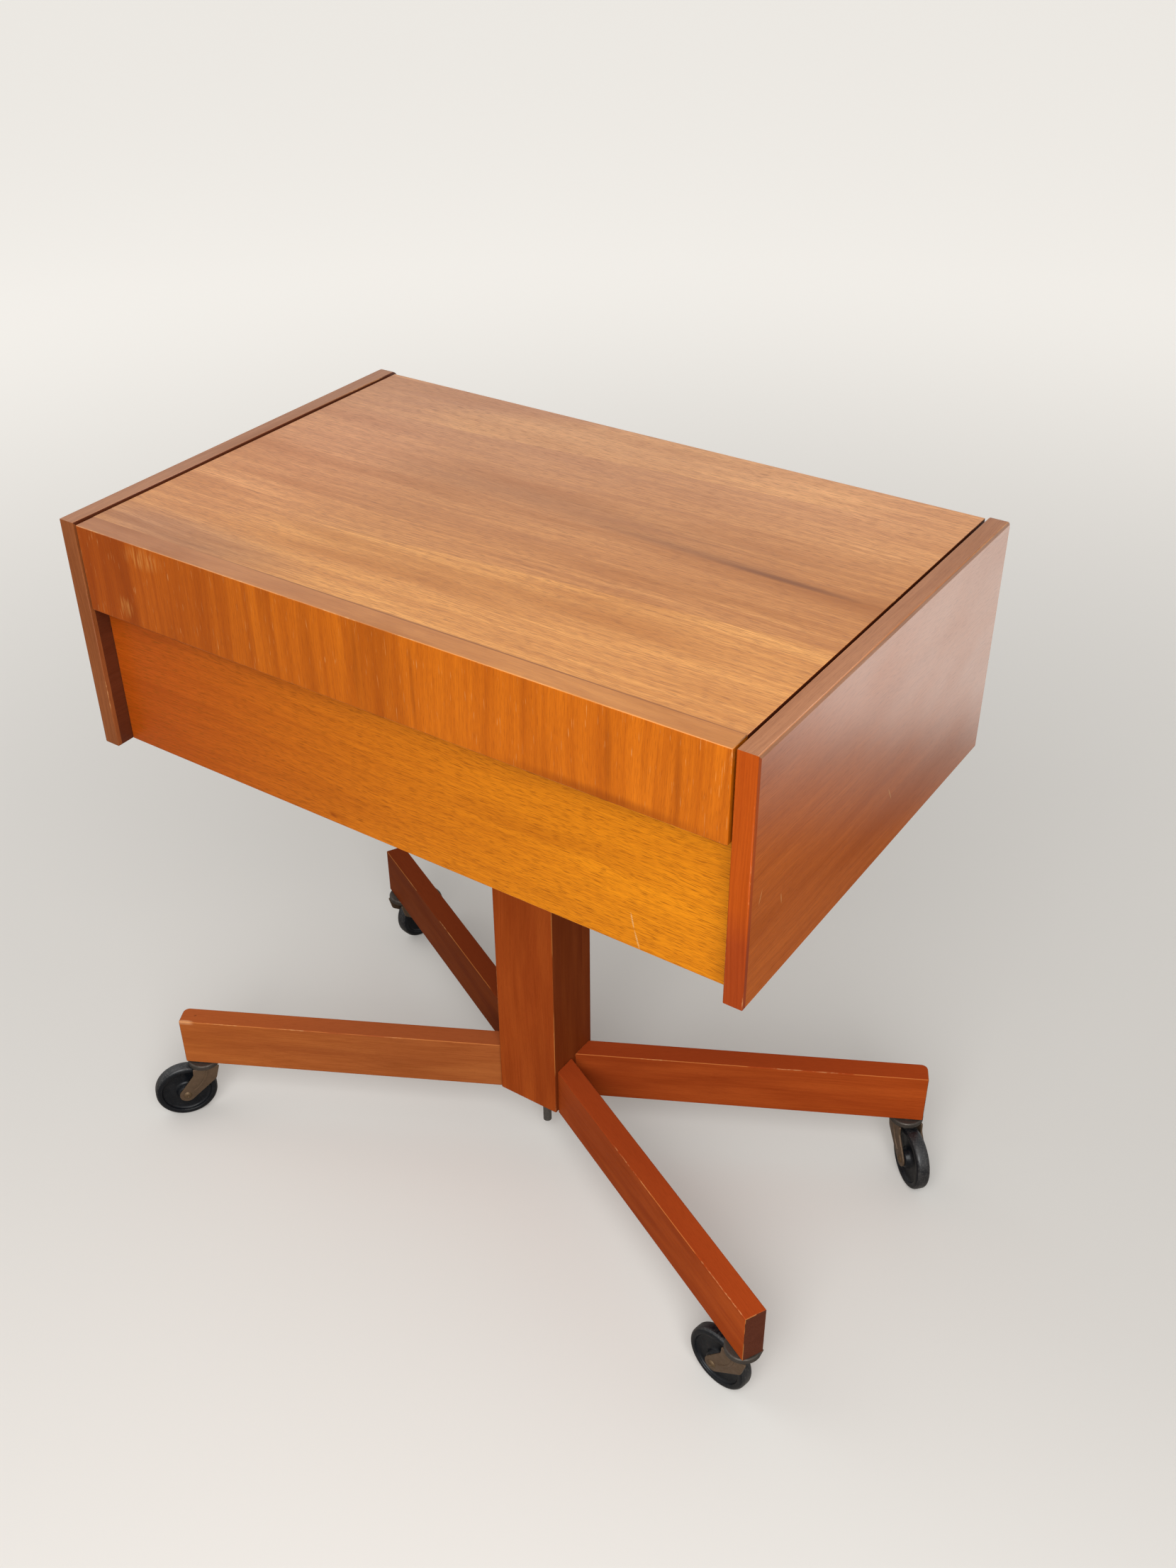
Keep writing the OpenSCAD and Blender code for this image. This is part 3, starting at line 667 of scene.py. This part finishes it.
def lid_marks(colour, tree, at):
    """The lid's lighter leaves, its dark streaks, the joint line behind its solid front edge, and painted
    sheen and light.
    """
    light, dark = (1.24, 1.33, 1.24, 1.0), tone(colour, 0.34, 0.25, 0.20)
    front_leaf = overlap(
        tree, beyond(tree, at, (-0.146, -0.090), 185, 0.0015),
        patch(tree, at, (0.10, -0.125), (0.37, 0.085), 4, 0.65),
    )
    back_leaf = overlap(
        tree, beyond(tree, at, (-0.139, 0.112), 5, 0.0015),
        patch(tree, at, (0.01, 0.145), (0.24, 0.055), 5, 0.65),
    )
    back = patch(tree, at, (-0.12, 0.24), (0.55, 0.36), 0, 0.0)
    right = patch(tree, at, (0.25, 0.17), (0.24, 0.15), -8, 0.15)
    left = patch(tree, at, (-0.24, -0.02), (0.16, 0.20), 0, 0.1)
    front_left = patch(tree, at, (-0.20, -0.160), (0.15, 0.036), 0, 0.25)
    large_pores = streaks(tree, at, 0.016, 0.0008, 0.55, 0.67, 61.0, 1.0)
    return [
        # Painted sheen: a pinkish, paler back
        (tone(colour, 1.05, 1.36, 3.4), back, 0.40),
        (light, front_leaf, 0.9, "MULTIPLY"),
        (light, back_leaf, 0.8, "MULTIPLY"),
        # Painted light: brighter and paler at the back right
        ((1.26, 1.38, 1.68, 1.0), right, 0.9, "MULTIPLY"),
        # Painted sheen: brighter and paler at the left
        ((1.24, 1.28, 1.58, 1.0), left, 0.9, "MULTIPLY"),
        ((0.70, 0.70, 0.98, 1.0), front_left, 0.9, "MULTIPLY"),
        (dark, patch(tree, at, (-0.19, -0.168), (0.065, 0.004), 1, 0.1), 0.35),
        (dark, patch(tree, at, (0.0, 0.035), (0.30, 0.022), 2, 0.1), 0.25),
        (tone(colour, 0.60, 0.48, 0.40), large_pores, 0.5),
        (dark, patch(tree, at, (0.205, 0.0155), (0.085, 0.0048), -1.3, 0.15), 0.95),
        (dark, patch(tree, at, (0.13, 0.020), (0.16, 0.0100), -1.3, 0.0), 0.55),
        (dark, patch(tree, at, (-0.274, -0.178), (0.006, 0.003), 0, 0.1), 0.7),
        (dark, patch(tree, at, (0.08, -0.1735), (0.34, 0.0012), 0, 0.4), 0.85),
    ]


def strip_marks(tree, at):
    """Painted shade and sheen that make the left end of the solid strip in front of the lid's veneer darker
    and pinker.
    """
    left = patch(tree, at, (-0.32, -0.18), (0.5, 0.3), 0, 0.1)
    # Painted shade and sheen: darker and pinker towards the left
    return [((0.78, 0.76, 1.15, 1.0), left, 0.9, "MULTIPLY")]


def apron_marks(wood, tree, at):
    """Painted shade that makes the apron's left end darker and redder, a painted shadow along its lower
    edge, rubbed patches, scratches and dark streaks; its grain runs up.
    """
    pale, dark = tone(wood.bare, 1, 0.95, 0.85), tone(wood.apron, 0.42, 0.32, 0.26)
    worn = tone(wood.bare, 0.92, 0.70, 0.40)
    scratches = streaks(tree, at, 0.011, 0.0007, 0.77, 0.83, 91.0, 0.0)
    rubbed = streaks(tree, at, 0.020, 0.0020, 0.42, 0.62, 95.0, 1.0)
    left = patch(tree, at, (0.61, -0.34), (0.4, 0.36), 0, 0.1)
    upper = patch(tree, at, (0.640, -0.214), (0.012, 0.026), 0, 0.2)
    lower = patch(tree, at, (0.593, -0.242), (0.012, 0.010), 0, 0.3)
    found = [
        # Painted shade: darker and redder towards the left
        ((0.66, 0.50, 0.95, 1.0), left, 0.95, "MULTIPLY"),
        (worn, overlap(tree, rubbed, upper), 0.5),
        (worn, overlap(tree, rubbed, lower), 0.4),
        (pale, scratches, 0.35),
        # Painted shadow: a dark band along the apron's lower edge at the right
        (dark, patch(tree, at, (0.581, 0.19), (0.008, 0.11), 0, 0.1), 0.6),
    ]
    for x, wide in ((-0.012, 0.004), (0.038, 0.003), (0.195, 0.004), (0.246, 0.004)):
        found.append((dark, patch(tree, at, (0.615, x), (0.06, wide), 0, 0.1), 0.45))
    return found


def front_marks(wood, tree, at):
    """Painted shade that makes the lower front's left end darker and redder, its small knot and its curved
    scratch.
    """
    scratch = [((0.2045, 0.4755), (0.0009, 0.008), 12), ((0.2085, 0.4600), (0.0009, 0.010), 16)]
    pale = tone(wood.bare, 1, 0.95, 0.8)
    left = patch(tree, at, (-0.42, 0.53), (0.68, 0.9), 0, 0.12)
    knot = patch(tree, at, (-0.065, 0.459), (0.006, 0.003), -15, 0.1)
    around = patch(tree, at, (-0.060, 0.460), (0.018, 0.005), -8, 0.1)
    return [
        # Painted shade: darker and redder towards the left
        ((0.62, 0.29, 1.25, 1.0), left, 0.95, "MULTIPLY"),
        (tone(wood.front, 0.30, 0.14, 0.15), knot, 0.9),
        (tone(wood.front, 0.60, 0.42, 0.40), around, 0.6),
        *[(pale, patch(tree, at, *place, 0.5), 0.75) for place in scratch],
    ]


def lipping_marks(tree, at):
    """The front lipping's redder lower end."""
    return [((0.76, 0.66, 1.5, 1.0), rise(tree, at, 0, 0.935, 0.905), 0.9, "MULTIPLY")]


def stain_marks(colour, chip, end, tree, at):
    """Clouds in the stain and, on the feet, a top made redder by painted shade, an outer end made paler by
    painted light, a chip and a dent.

    end says how strong the painted light on the outer end is.
    """
    pale_cloud = streaks(tree, at, 0.14, 0.016, 0.42, 0.66, 83.0, 2.0)
    dark_cloud = streaks(tree, at, 0.12, 0.020, 0.50, 0.70, 88.0, 2.0)
    top = rise(tree, at, 2, 0.1180, 0.1186)
    outer = rise(tree, at, 0, 0.16, 0.33)
    upper = rise(tree, at, 2, 0.1150, 0.1180)
    chipped = patch(tree, at, (0.3475, -0.7925), (0.010, 0.0030), 0, 0.4)
    dent = patch(tree, at, (0.3400, -0.8020), (0.0020, 0.0012), 20, 0.2)
    return [
        (tone(colour, 1.24, 1.42, 1.4), pale_cloud, 0.50),
        (tone(colour, 0.72, 0.62, 0.66), dark_cloud, 0.50),
        # Painted shade: the top darker and redder
        (tone(colour, 0.94, 0.80, 0.92), top, 0.8),
        # Painted light: paler towards the outer end, away from the shade of the case
        ((1.35, 1.30, 1.0, 1.0), outer, end, "MULTIPLY"),
        ((*chip, 1.0), overlap(tree, upper, chipped), 0.75),
        (tone(colour, 0.4, 0.35, 0.35), overlap(tree, upper, dent), 0.7),
    ]


def side_sheen(tree, at):
    """The polish left on the upper back of the right side, where hands haven't dulled it."""
    worn = streaks(tree, at, 0.08, 0.05, 0.30, 0.62, 77.0, 3.0)
    handled = add(tree, "ShaderNodeMapRange", {"Value": worn, "To Min": 0.8}).outputs[0]
    return overlap(tree, beyond(tree, at, (0.75, 0.430), -28.7, 0.10), handled)


def side_marks(wood, tree, at):
    """A pale painted reflection on the side's upper back, and three small scratches."""
    pale = tone(wood.bare, 1, 0.95, 0.85)
    return [
        # Painted reflection: the upper back is paled as if the lacquer mirrored a pale wall
        ((*wood.painted_reflection, 1.0), beyond(tree, at, (0.75, 0.440), -28.7, 0.20), 0.70),
        (pale, patch(tree, at, (0.719, 0.504), (0.0008, 0.009), 30, 0.4), 0.6),
        (pale, patch(tree, at, (0.523, 0.537), (0.0008, 0.007), -20, 0.4), 0.5),
        (pale, patch(tree, at, (0.553, 0.517), (0.0008, 0.006), 10, 0.4), 0.5),
    ]


# ---- Operators ----


class TABLE_OT_lid(bpy.types.Operator):
    """Make the lid's veneered panel and its apron"""

    bl_idname = "sewing_table.lid"
    bl_label = "Make lid"

    def execute(self, context):
        wood = context.scene.sewing_table.wood
        lo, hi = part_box("lid_panel")
        bm = block(lo, hi)
        finish_board(bm, wood, (X, Y, Z), [(lo, Y)], 0.0005, other=(X, (Y, Z, X)))
        # Sliced teak under a satin lacquer: warm leaves with long bands, open pores and a soft, broad shine
        veneer = timber(
            "lid teak veneer, satin lacquer", wood.lid, wood, figure=1.4, fine=0.65,
            marks=partial(lid_marks, wood.lid),
        )
        # Stained edge veneer, darkened with painted shade for the gap beside it: dark, narrow and almost
        # without shine
        banding = timber(
            "lid edge veneer, stained and darkened by painted shade", wood.inner_stain_and_shade, wood, length=0.2, figure=0.5, pores=0.2,
            shift=5.0, gloss=0.05,
        )
        # The same teak with hardly any lacquer: a quieter figure and a matt face
        lining = timber(
            "lid inner teak veneer, matt", wood.lid, wood, length=0.3, figure=0.8, pores=0.4,
            shift=6.0, gloss=0.2,
        )
        for face in bm.faces:
            if face.normal.z < -FACING:
                face.material_index = 2
        piece("lid_top", bm, (veneer, banding, lining), "lid", "lid_veneer", "lid_panel")

        front_lo, front_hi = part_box("lid_apron")
        inner = front_lo.y + APRON_THICKNESS
        section = [
            (front_lo.y, front_lo.z), (inner, front_lo.z), (inner, lo.z), (front_hi.y, lo.z),
            (front_hi.y, front_hi.z), (front_lo.y, front_hi.z),
        ]
        bm = prism([(front_lo.x, y, z) for y, z in section], (front_hi.x - front_lo.x, 0, 0))
        finish_board(bm, wood, (Z, X, Y), [(front_hi, Y)], other=(Z, (X, Y, Z)))
        # Sliced teak with its grain upright: a bright orange, streaked up and down, and rubbed in places
        veneer = timber(
            "apron teak veneer, satin lacquer", wood.apron, wood, length=0.5, figure=1.4, fine=0.3,
            pores=0.3, marks=partial(apron_marks, wood), shift=7.0, gloss=0.15,
        )
        # Solid teak under the same lacquer: short, faint bands and few pores
        edge = timber(
            "lid edge solid teak, satin lacquer", wood.lid_edge, wood, length=0.12, figure=0.8, fine=0.2,
            pores=0.2, marks=strip_marks, shift=9.0,
        )
        piece("lid_front", bm, (veneer, edge), "lid", "apron_veneer", "lid_apron")
        return {"FINISHED"}


class TABLE_OT_case(bpy.types.Operator):
    """Make the case's sides, their solid lippings and the lower front"""

    bl_idname = "sewing_table.case"
    bl_label = "Make case"

    def execute(self, context):
        wood = context.scene.sewing_table.wood
        # Sliced teak dulled by handling: red-brown and matt, with a glassy polish left at the upper back
        # Its upper back is also paled with a painted reflection
        side = timber(
            "side teak veneer, satin lacquer", wood.side, wood, length=0.3, figure=0.8, pores=0.3,
            marks=partial(side_marks, wood), shift=13.0, sheen=side_sheen, gloss=0.05,
            **{"Coat IOR": 2.8, "Coat Roughness": 0.2},
        )
        # Stained veneer, darkened with painted shade inside the case: a dark red-brown that hides most of
        # its figure
        inner = timber(
            "side inner veneer, stained and darkened by painted shade", wood.inner_stain_and_shade, wood, length=0.3, figure=0.6, pores=0.2,
            shift=14.0, gloss=0.3,
        )
        # Solid teak lippings: fine, quiet grain, bare where their arrises rubbed through
        front_edge = timber(
            "front lipping solid teak, satin lacquer", wood.lipping, wood, length=0.2, figure=0.5,
            pores=0.15, worn=0.12, marks=lipping_marks, shift=17.0, gloss=0.08,
        )
        # The top lippings are paled with painted sheen
        top_edge = timber(
            "top lipping solid teak, satin lacquer", wood.lipping_top, wood, length=0.2, figure=0.6,
            pores=0.25, shift=19.0, gloss=0.3,
        )
        # The left lipping is darkened with painted shade and greyed with painted sheen
        left_edge = timber(
            "left lipping solid teak, satin lacquer", wood.lipping_left, wood, length=0.2, figure=0.6,
            pores=0.25, shift=20.0, gloss=0.12,
        )
        for name, sign in (("left", -1), ("right", 1)):
            lo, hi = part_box("side_lipping_" + name)
            core_lo, core_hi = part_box("side_panel_" + name)
            hi.y = core_hi.y  # lo and hi hold the whole side
            # The core and its two lippings meet here, the lippings in a mitre
            meeting = Vector((0, core_lo.y, core_hi.z))
            joints = [(meeting, Y), (meeting, Z), (meeting, (Y + Z).normalized())]
            cuts = {"core": (-Y, Z), "front": (Y, Y + Z), "top": (-Z, -Y - Z)}
            parts = {}
            for part, normals in cuts.items():
                parts[part] = bm = block(lo, hi)
                round_edges(bm, upright(bm, 0, {1: hi.y, 2: hi.z}), SIDE_CORNER, CORNER_STEPS)
                for normal in normals:
                    cut(bm, meeting, normal)
            inside = (-sign * X, (Y, Z, X))
            finish_board(parts["core"], wood, (Y, Z, X), joints, start=(sign * 0.7, 0, 0), other=inside)
            finish_board(parts["front"], wood, (Z, X, Y), joints, start=(sign * 0.4, 0, 0))
            finish_board(parts["top"], wood, (Y, X, Z), joints, start=(sign * 0.9, 0, 0), other=inside)
            fore = left_edge if name == "left" else front_edge
            lipping = "side_lipping_" + name
            panel = "side_panel_" + name
            piece("side_" + name, parts["core"], (side, inner), "case", "side_veneer", panel)
            piece("lipping_front_" + name, parts["front"], fore, "case", "lipping", lipping)
            piece("lipping_top_" + name, parts["top"], (top_edge, inner), "case", "lipping", lipping)

        bm = block(*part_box("front_panel"))
        finish_board(bm, wood, (X, Z, Y))
        # Sliced teak that was shaded by the apron: a deep golden orange, full of pores
        veneer = timber(
            "front teak veneer, satin lacquer", wood.front, wood, length=0.3, figure=0.6, pores=0.75,
            marks=partial(front_marks, wood), shift=23.0, gloss=0.15,
        )
        piece("case_front", bm, veneer, "case", "front_veneer", "front_panel")
        return {"FINISHED"}


class TABLE_OT_pedestal(bpy.types.Operator):
    """Make the boxed column and the four splayed feet"""

    bl_idname = "sewing_table.pedestal"
    bl_label = "Make column and feet"

    def execute(self, context):
        wood = context.scene.sewing_table.wood
        # Beech under a red-brown stain and a thin lacquer: clouded, with little figure and hardly a shine
        # The brown copy is the stain darkened with painted shade, and the pale copy is the stain paled with
        # painted sheen
        stain, pale, dark, brown = (
            timber(
                name + " beech, satin lacquer", colour, wood, length=0.18, figure=0.45, pores=0.15,
                marks=partial(stain_marks, colour, wood.chip, end), shift=31.0, gloss=0.01,
            )
            for name, colour, end in (
                ("stained", wood.stain, 0.4), ("paled by painted sheen, stained", wood.stain_painted_sheen, 0.45),
                ("dark stained", wood.stain_dark, 0.0), ("darkened by painted shade, stained", wood.stain_painted_shade, 0.0),
            )
        )
        # Sawn end grain drinks the stain: short, dark flecks
        sawn = timber(
            "stained end grain, satin lacquer", wood.end_grain, wood, length=0.02, figure=0.6, pores=0.4,
            shift=37.0, gloss=0.04,
        )
        for number, name in enumerate(("front", "back", "left", "right")):
            lo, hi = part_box(f"column_{name}_board")
            bm = block(lo, hi)
            # The boards meet flush at the side boards' front and back edges
            joints = {"front": [(hi, Y)], "back": [(lo, Y)]}.get(name, [(lo, Y), (hi, Y)])
            grain = (Z, X, Y) if number < 2 else (Z, Y, X)
            finish_board(bm, wood, grain, joints, start=(number * 0.8, 0, 0), other=(X, (Z, Y, X)))
            # Faces that look along X, the column's right side, get the painted shade
            piece("column_" + name, bm, (dark, brown), "case", "stained_wood", f"column_{name}_board")

        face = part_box("column_front_board")[1].x
        along = Vector((math.cos(SPLAY), math.sin(SPLAY), 0))
        across = Z.cross(along)
        for name, (sx, sy) in CORNERS.items():
            lo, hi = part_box("foot_" + name)
            pivot = Vector(JOINTS["swivel_" + name]["pos_m"])
            pivot = Vector((abs(pivot.x), abs(pivot.y), lo.z))
            end = pivot + FOOT_REACH * along
            root = pivot - along * (pivot.x - face) / along.x
            spread = FOOT_HALF / along.x * Y
            side = FOOT_HALF * across
            mirror = Matrix.Diagonal((sx, sy, 1))
            outline = [root + spread, root - spread, end - side, end + side]
            bm = prism([mirror @ point for point in outline], (0, 0, hi.z - lo.z))
            rounded = {"front_left": end - side, "back_right": end + side}.get(name)
            if rounded is not None:
                place = mirror @ rounded
                round_edges(bm, upright(bm, 2, {0: place.x, 1: place.y}), FOOT_CORNER, CORNER_STEPS)
            outward = mirror @ along
            grain = (outward, mirror @ across, Z)
            finish_board(bm, wood, grain, start=(0, sx * 0.3 + sy * 0.5, 0), other=(outward, grain))
            # The back left foot gets the painted shade, and the front left foot the painted sheen
            finish = {"back_left": brown, "front_left": pale}.get(name, stain)
            piece("foot_board_" + name, bm, (finish, sawn), "case", "stained_wood", "foot_" + name)
        return {"FINISHED"}


class TABLE_OT_castors(bpy.types.Operator):
    """Make the castors' wheels, forks, axle rivets and hooded kingpins"""

    bl_idname = "sewing_table.castors"
    bl_label = "Make castors"

    def execute(self, context):
        settings = context.scene.sewing_table
        # Moulded plastic: black and slightly shiny, and greyer on the tread
        plastic = (
            wheel_material("black moulded plastic", settings.castor, 0.15, 0.25),
            wheel_material("black moulded plastic, scuffed tread", settings.castor, 0.70, 0.50),
        )
        # Pressed steel under a bronze lacquer: a warm brown, half metallic and clouded
        bronze = metal(
            "bronze lacquered steel", settings.metal.fork, 0.45, (0.62, 0.58, 0.54), 0.45,
            **{"Coat Weight": 0.15, "Coat Roughness": 0.4},
        )
        # Plated steel, dulled by age: grey-brown with blurred highlights
        rivet = metal("dulled bronze rivet", settings.metal.rivet, 0.40, (0.6, 0.5, 0.45), 0.6)
        # The hoods are darkened with painted shade, for the shade under the feet
        plated = metal("dark plated steel, dulled and darkened by painted shade", settings.metal.hood, 0.42, (0.55, 0.52, 0.50), 0.6)
        pins = bmesh.new()
        swivels = []
        for name in CORNERS:
            pivot = Vector(JOINTS["swivel_" + name]["pos_m"])
            axle = Vector(JOINTS["roll_" + name]["pos_m"])
            trail = axle - pivot
            trail.z = 0
            turn = Matrix.Rotation(math.atan2(trail.y, trail.x), 4, "Z")
            turn = Matrix.Translation((pivot.x, pivot.y, 0)) @ turn
            to_axle = Matrix.Translation((trail.length, 0, axle.z)) @ Matrix.Rotation(math.pi / 2, 4, "X")
            to_axle = turn @ to_axle
            swivels.append(turn)

            bm = turned(wheel_section(), settings.castor.steps)
            smooth(bm)
            for face in bm.faces:
                face.material_index = 1 if face.calc_center_median().xy.length > TREAD_RADIUS else 0
            bm.transform(to_axle)
            piece("castor_wheel_" + name, bm, plastic, "roller_" + name, "wheel_plastic", "wheel_" + name)

            bm = fork_shape(Vector((trail.length, axle.z)))
            bm.transform(turn)
            piece("castor_fork_" + name, bm, bronze, "castor_" + name, "fork_steel", "fork_" + name)

            bm = turned(rivet_section(), RIVET_STEPS)
            smooth(bm)
            bm.transform(to_axle)
            piece("castor_rivet_" + name, bm, rivet, "castor_" + name, "rivet_steel", "axle_" + name)

        pin = turned(kingpin_section(), PRESSED_STEPS)
        smooth(pin)
        join(pins, pin, *swivels)
        piece("castor_hooded_pins", pins, plated, "case", "zinc_steel", "castor_kingpins")
        return {"FINISHED"}


class TABLE_OT_fittings(bpy.types.Operator):
    """Finish the tray, hinges, rod and other CAD parts that keep their shape"""

    bl_idname = "sewing_table.fittings"
    bl_label = "Finish fittings"

    def execute(self, context):
        settings = context.scene.sewing_table
        wood, plate, cloth = settings.wood, settings.metal, settings.felt
        # Planed beech under a clear lacquer: pale pinkish tan with short, faint flecks
        beech = timber(
            "planed beech, clear lacquer", wood.beech, wood, board=False, length=0.08, figure=0.5,
            pores=0.25, shift=43.0,
        )
        # Birch plywood: the same pale tan with a broader figure and fewer pores
        ply = timber(
            "birch plywood, clear lacquer", wood.plywood, wood, board=False, length=0.2, figure=0.7,
            pores=0.15, shift=47.0,
        )
        # Turned and plated fittings: dull grey zinc, satin brass and mirror-bright balls
        # The zinc is darkened with painted shade
        zinc = metal("zinc plated steel, dulled and darkened by painted shade", plate.zinc, 0.34, (0.62, 0.62, 0.64))
        brass = metal("satin brass", plate.brass, 0.28, (0.70, 0.60, 0.48))
        ball = metal("polished ball steel", plate.ball, 0.12, (0.8, 0.8, 0.8))
        # Pressed wool felt: matt green with short, paler fibres
        felt, tree, shader = surface("green pressed felt", (*cloth.felt, 1.0), Roughness=0.95)
        place = add(tree, "ShaderNodeTexCoord").outputs["Object"]
        fibre = streaks(tree, place, 0.0012, 0.0005, 0.35, 0.65, 2.0, 3.0)
        colour = paint(tree, (*cloth.felt, 1.0), [((*cloth.fibre, 1.0), fibre, 0.7)])
        tree.links.new(colour, shader.inputs["Base Color"])
        slots = {
            "beech": beech, "plywood": ply, "zinc_steel": zinc, "brass": brass, "ball_steel": ball,
            "felt": felt,
        }
        for part in frame["record"]["subparts"]:
            if part["material_slot"] in slots:
                node = frame["nodes"][part["node"]]
                node.data.materials.clear()
                node.data.materials.append(slots[part["material_slot"]])
        return {"FINISHED"}


def floor_material(colour, bounce):
    """A matt floor that camera rays see paler, and brighter with its distance.

    Polished faces mirror a pale wall that would stand behind a line on it.
    """
    material, tree, shader = surface("plain matt floor", (*colour, 1.0), Roughness=1.0)
    shader.inputs["Emission Color"].default_value = (*colour, 1.0)
    rays = add(tree, "ShaderNodeLightPath").outputs
    seen = rays["Is Camera Ray"]
    shade = add(
        tree, "ShaderNodeMix", {"Factor": seen, MIX_A: (*bounce, 1.0), MIX_B: (*colour, 1.0)},
        data_type="RGBA",
    ).outputs[MIX_COLOUR]
    tree.links.new(shade, shader.inputs["Base Color"])
    place = add(tree, "ShaderNodeTexCoord").outputs["Object"]
    away = add(tree, "ShaderNodeVectorMath", {0: place, 1: (0.45, -0.75, 0.0)}, operation="DISTANCE")
    far = add(
        tree, "ShaderNodeMapRange",
        {"Value": away.outputs["Value"], "From Min": 0.9, "From Max": 3.8, "To Min": 0.1, "To Max": 0.8},
        interpolation_type="SMOOTHSTEP",
    ).outputs[0]
    wall = overlap(tree, rays["Is Glossy Ray"], beyond(tree, place, (0.60, 0.80), -33.4, 0.15))
    glow = add(tree, "ShaderNodeMath", {0: wall, 1: overlap(tree, seen, far)}, operation="ADD")
    tree.links.new(glow.outputs[0], shader.inputs["Emission Strength"])
    return material


def studio(colour):
    """A plain background that lights the table less than it looks."""
    world = bpy.data.worlds.new("studio")
    world.use_nodes = True
    tree = world.node_tree
    tree.nodes.clear()
    rays = add(tree, "ShaderNodeLightPath").outputs
    direct = rays["Is Camera Ray"]
    for kind in ("Is Glossy Ray", "Is Transmission Ray"):
        direct = add(tree, "ShaderNodeMath", {0: direct, 1: rays[kind]}, operation="MAXIMUM").outputs[0]
    soft = add(tree, "ShaderNodeBackground", {"Color": colour, "Strength": WORLD_LIGHT})
    plain = add(tree, "ShaderNodeBackground", {"Color": colour, "Strength": 1.0})
    mixed = add(tree, "ShaderNodeMixShader", {0: direct, 1: soft.outputs[0], 2: plain.outputs[0]})
    add(tree, "ShaderNodeOutputWorld", {"Surface": mixed.outputs[0]})
    return world


class TABLE_OT_stage(bpy.types.Operator):
    """Make the floor, the lights, the background and the camera"""

    bl_idname = "sewing_table.stage"
    bl_label = "Make stage"

    def execute(self, context):
        stage = context.scene.sewing_table.stage
        bm = bmesh.new()
        bmesh.ops.create_grid(bm, x_segments=1, y_segments=1, size=15)
        mesh = bpy.data.meshes.new("floor")
        bm.to_mesh(mesh)
        bm.free()
        mesh.materials.append(floor_material(stage.floor, stage.bounce))
        floor = bpy.data.objects.new("floor", mesh)
        context.collection.objects.link(floor)

        for name, power, size, place in (
            ("key", stage.key, 1.5, (0.85, -1.35, 1.45)),
            ("fill", stage.fill, 2.4, (-1.7, -0.4, 2.5)),
        ):
            lamp = bpy.data.lights.new(name, "AREA")
            lamp.energy = power
            lamp.shape = "SQUARE"
            lamp.size = size
            light = bpy.data.objects.new(name, lamp)
            light.location = place
            light.rotation_euler = (LIT_POINT - light.location).to_track_quat("-Z", "Y").to_euler()
            context.collection.objects.link(light)
        context.scene.world = studio((*stage.sky, 1.0))

        lens = bpy.data.cameras.new("camera")
        lens.sensor_width = SENSOR
        lens.lens = stage.lens
        lens.shift_x, lens.shift_y = CAMERA_SHIFT
        camera = bpy.data.objects.new("camera", lens)
        camera.location = CAMERA_PLACE
        camera.rotation_euler = [math.radians(angle) for angle in CAMERA_TURN]
        context.collection.objects.link(camera)
        context.scene.camera = camera
        context.scene.view_settings.view_transform = "Standard"
        return {"FINISHED"}


class TABLE_PT_panel(bpy.types.Panel):
    """Settings and steps of the sewing table"""

    bl_idname = "TABLE_PT_panel"
    bl_label = "Sewing Table"
    bl_space_type = "VIEW_3D"
    bl_region_type = "UI"
    bl_category = "Sewing Table"

    def draw(self, context):
        settings = context.scene.sewing_table
        for name in ("wood", "metal", "castor", "felt", "stage"):
            box = self.layout.box()
            box.label(text=name.capitalize())
            group = getattr(settings, name)
            for key in group.__annotations__:
                box.prop(group, key)
        for step in STEPS:
            self.layout.operator(step.bl_idname)


GROUPS = (WoodSettings, MetalSettings, CastorSettings, FeltSettings, StageSettings, TableSettings)
STEPS = (
    TABLE_OT_lid, TABLE_OT_case, TABLE_OT_pedestal, TABLE_OT_castors, TABLE_OT_fittings,
    TABLE_OT_stage,
)


def register():
    for made in (*GROUPS, *STEPS, TABLE_PT_panel):
        bpy.utils.register_class(made)
    bpy.types.Scene.sewing_table = PointerProperty(type=TableSettings)


def unregister():
    del bpy.types.Scene.sewing_table
    for made in reversed((*GROUPS, *STEPS, TABLE_PT_panel)):
        bpy.utils.unregister_class(made)


def main():
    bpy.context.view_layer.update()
    register()
    for step in STEPS:
        group, name = step.bl_idname.split(".")
        getattr(getattr(bpy.ops, group), name)()


if __name__ == "__main__":
    main()
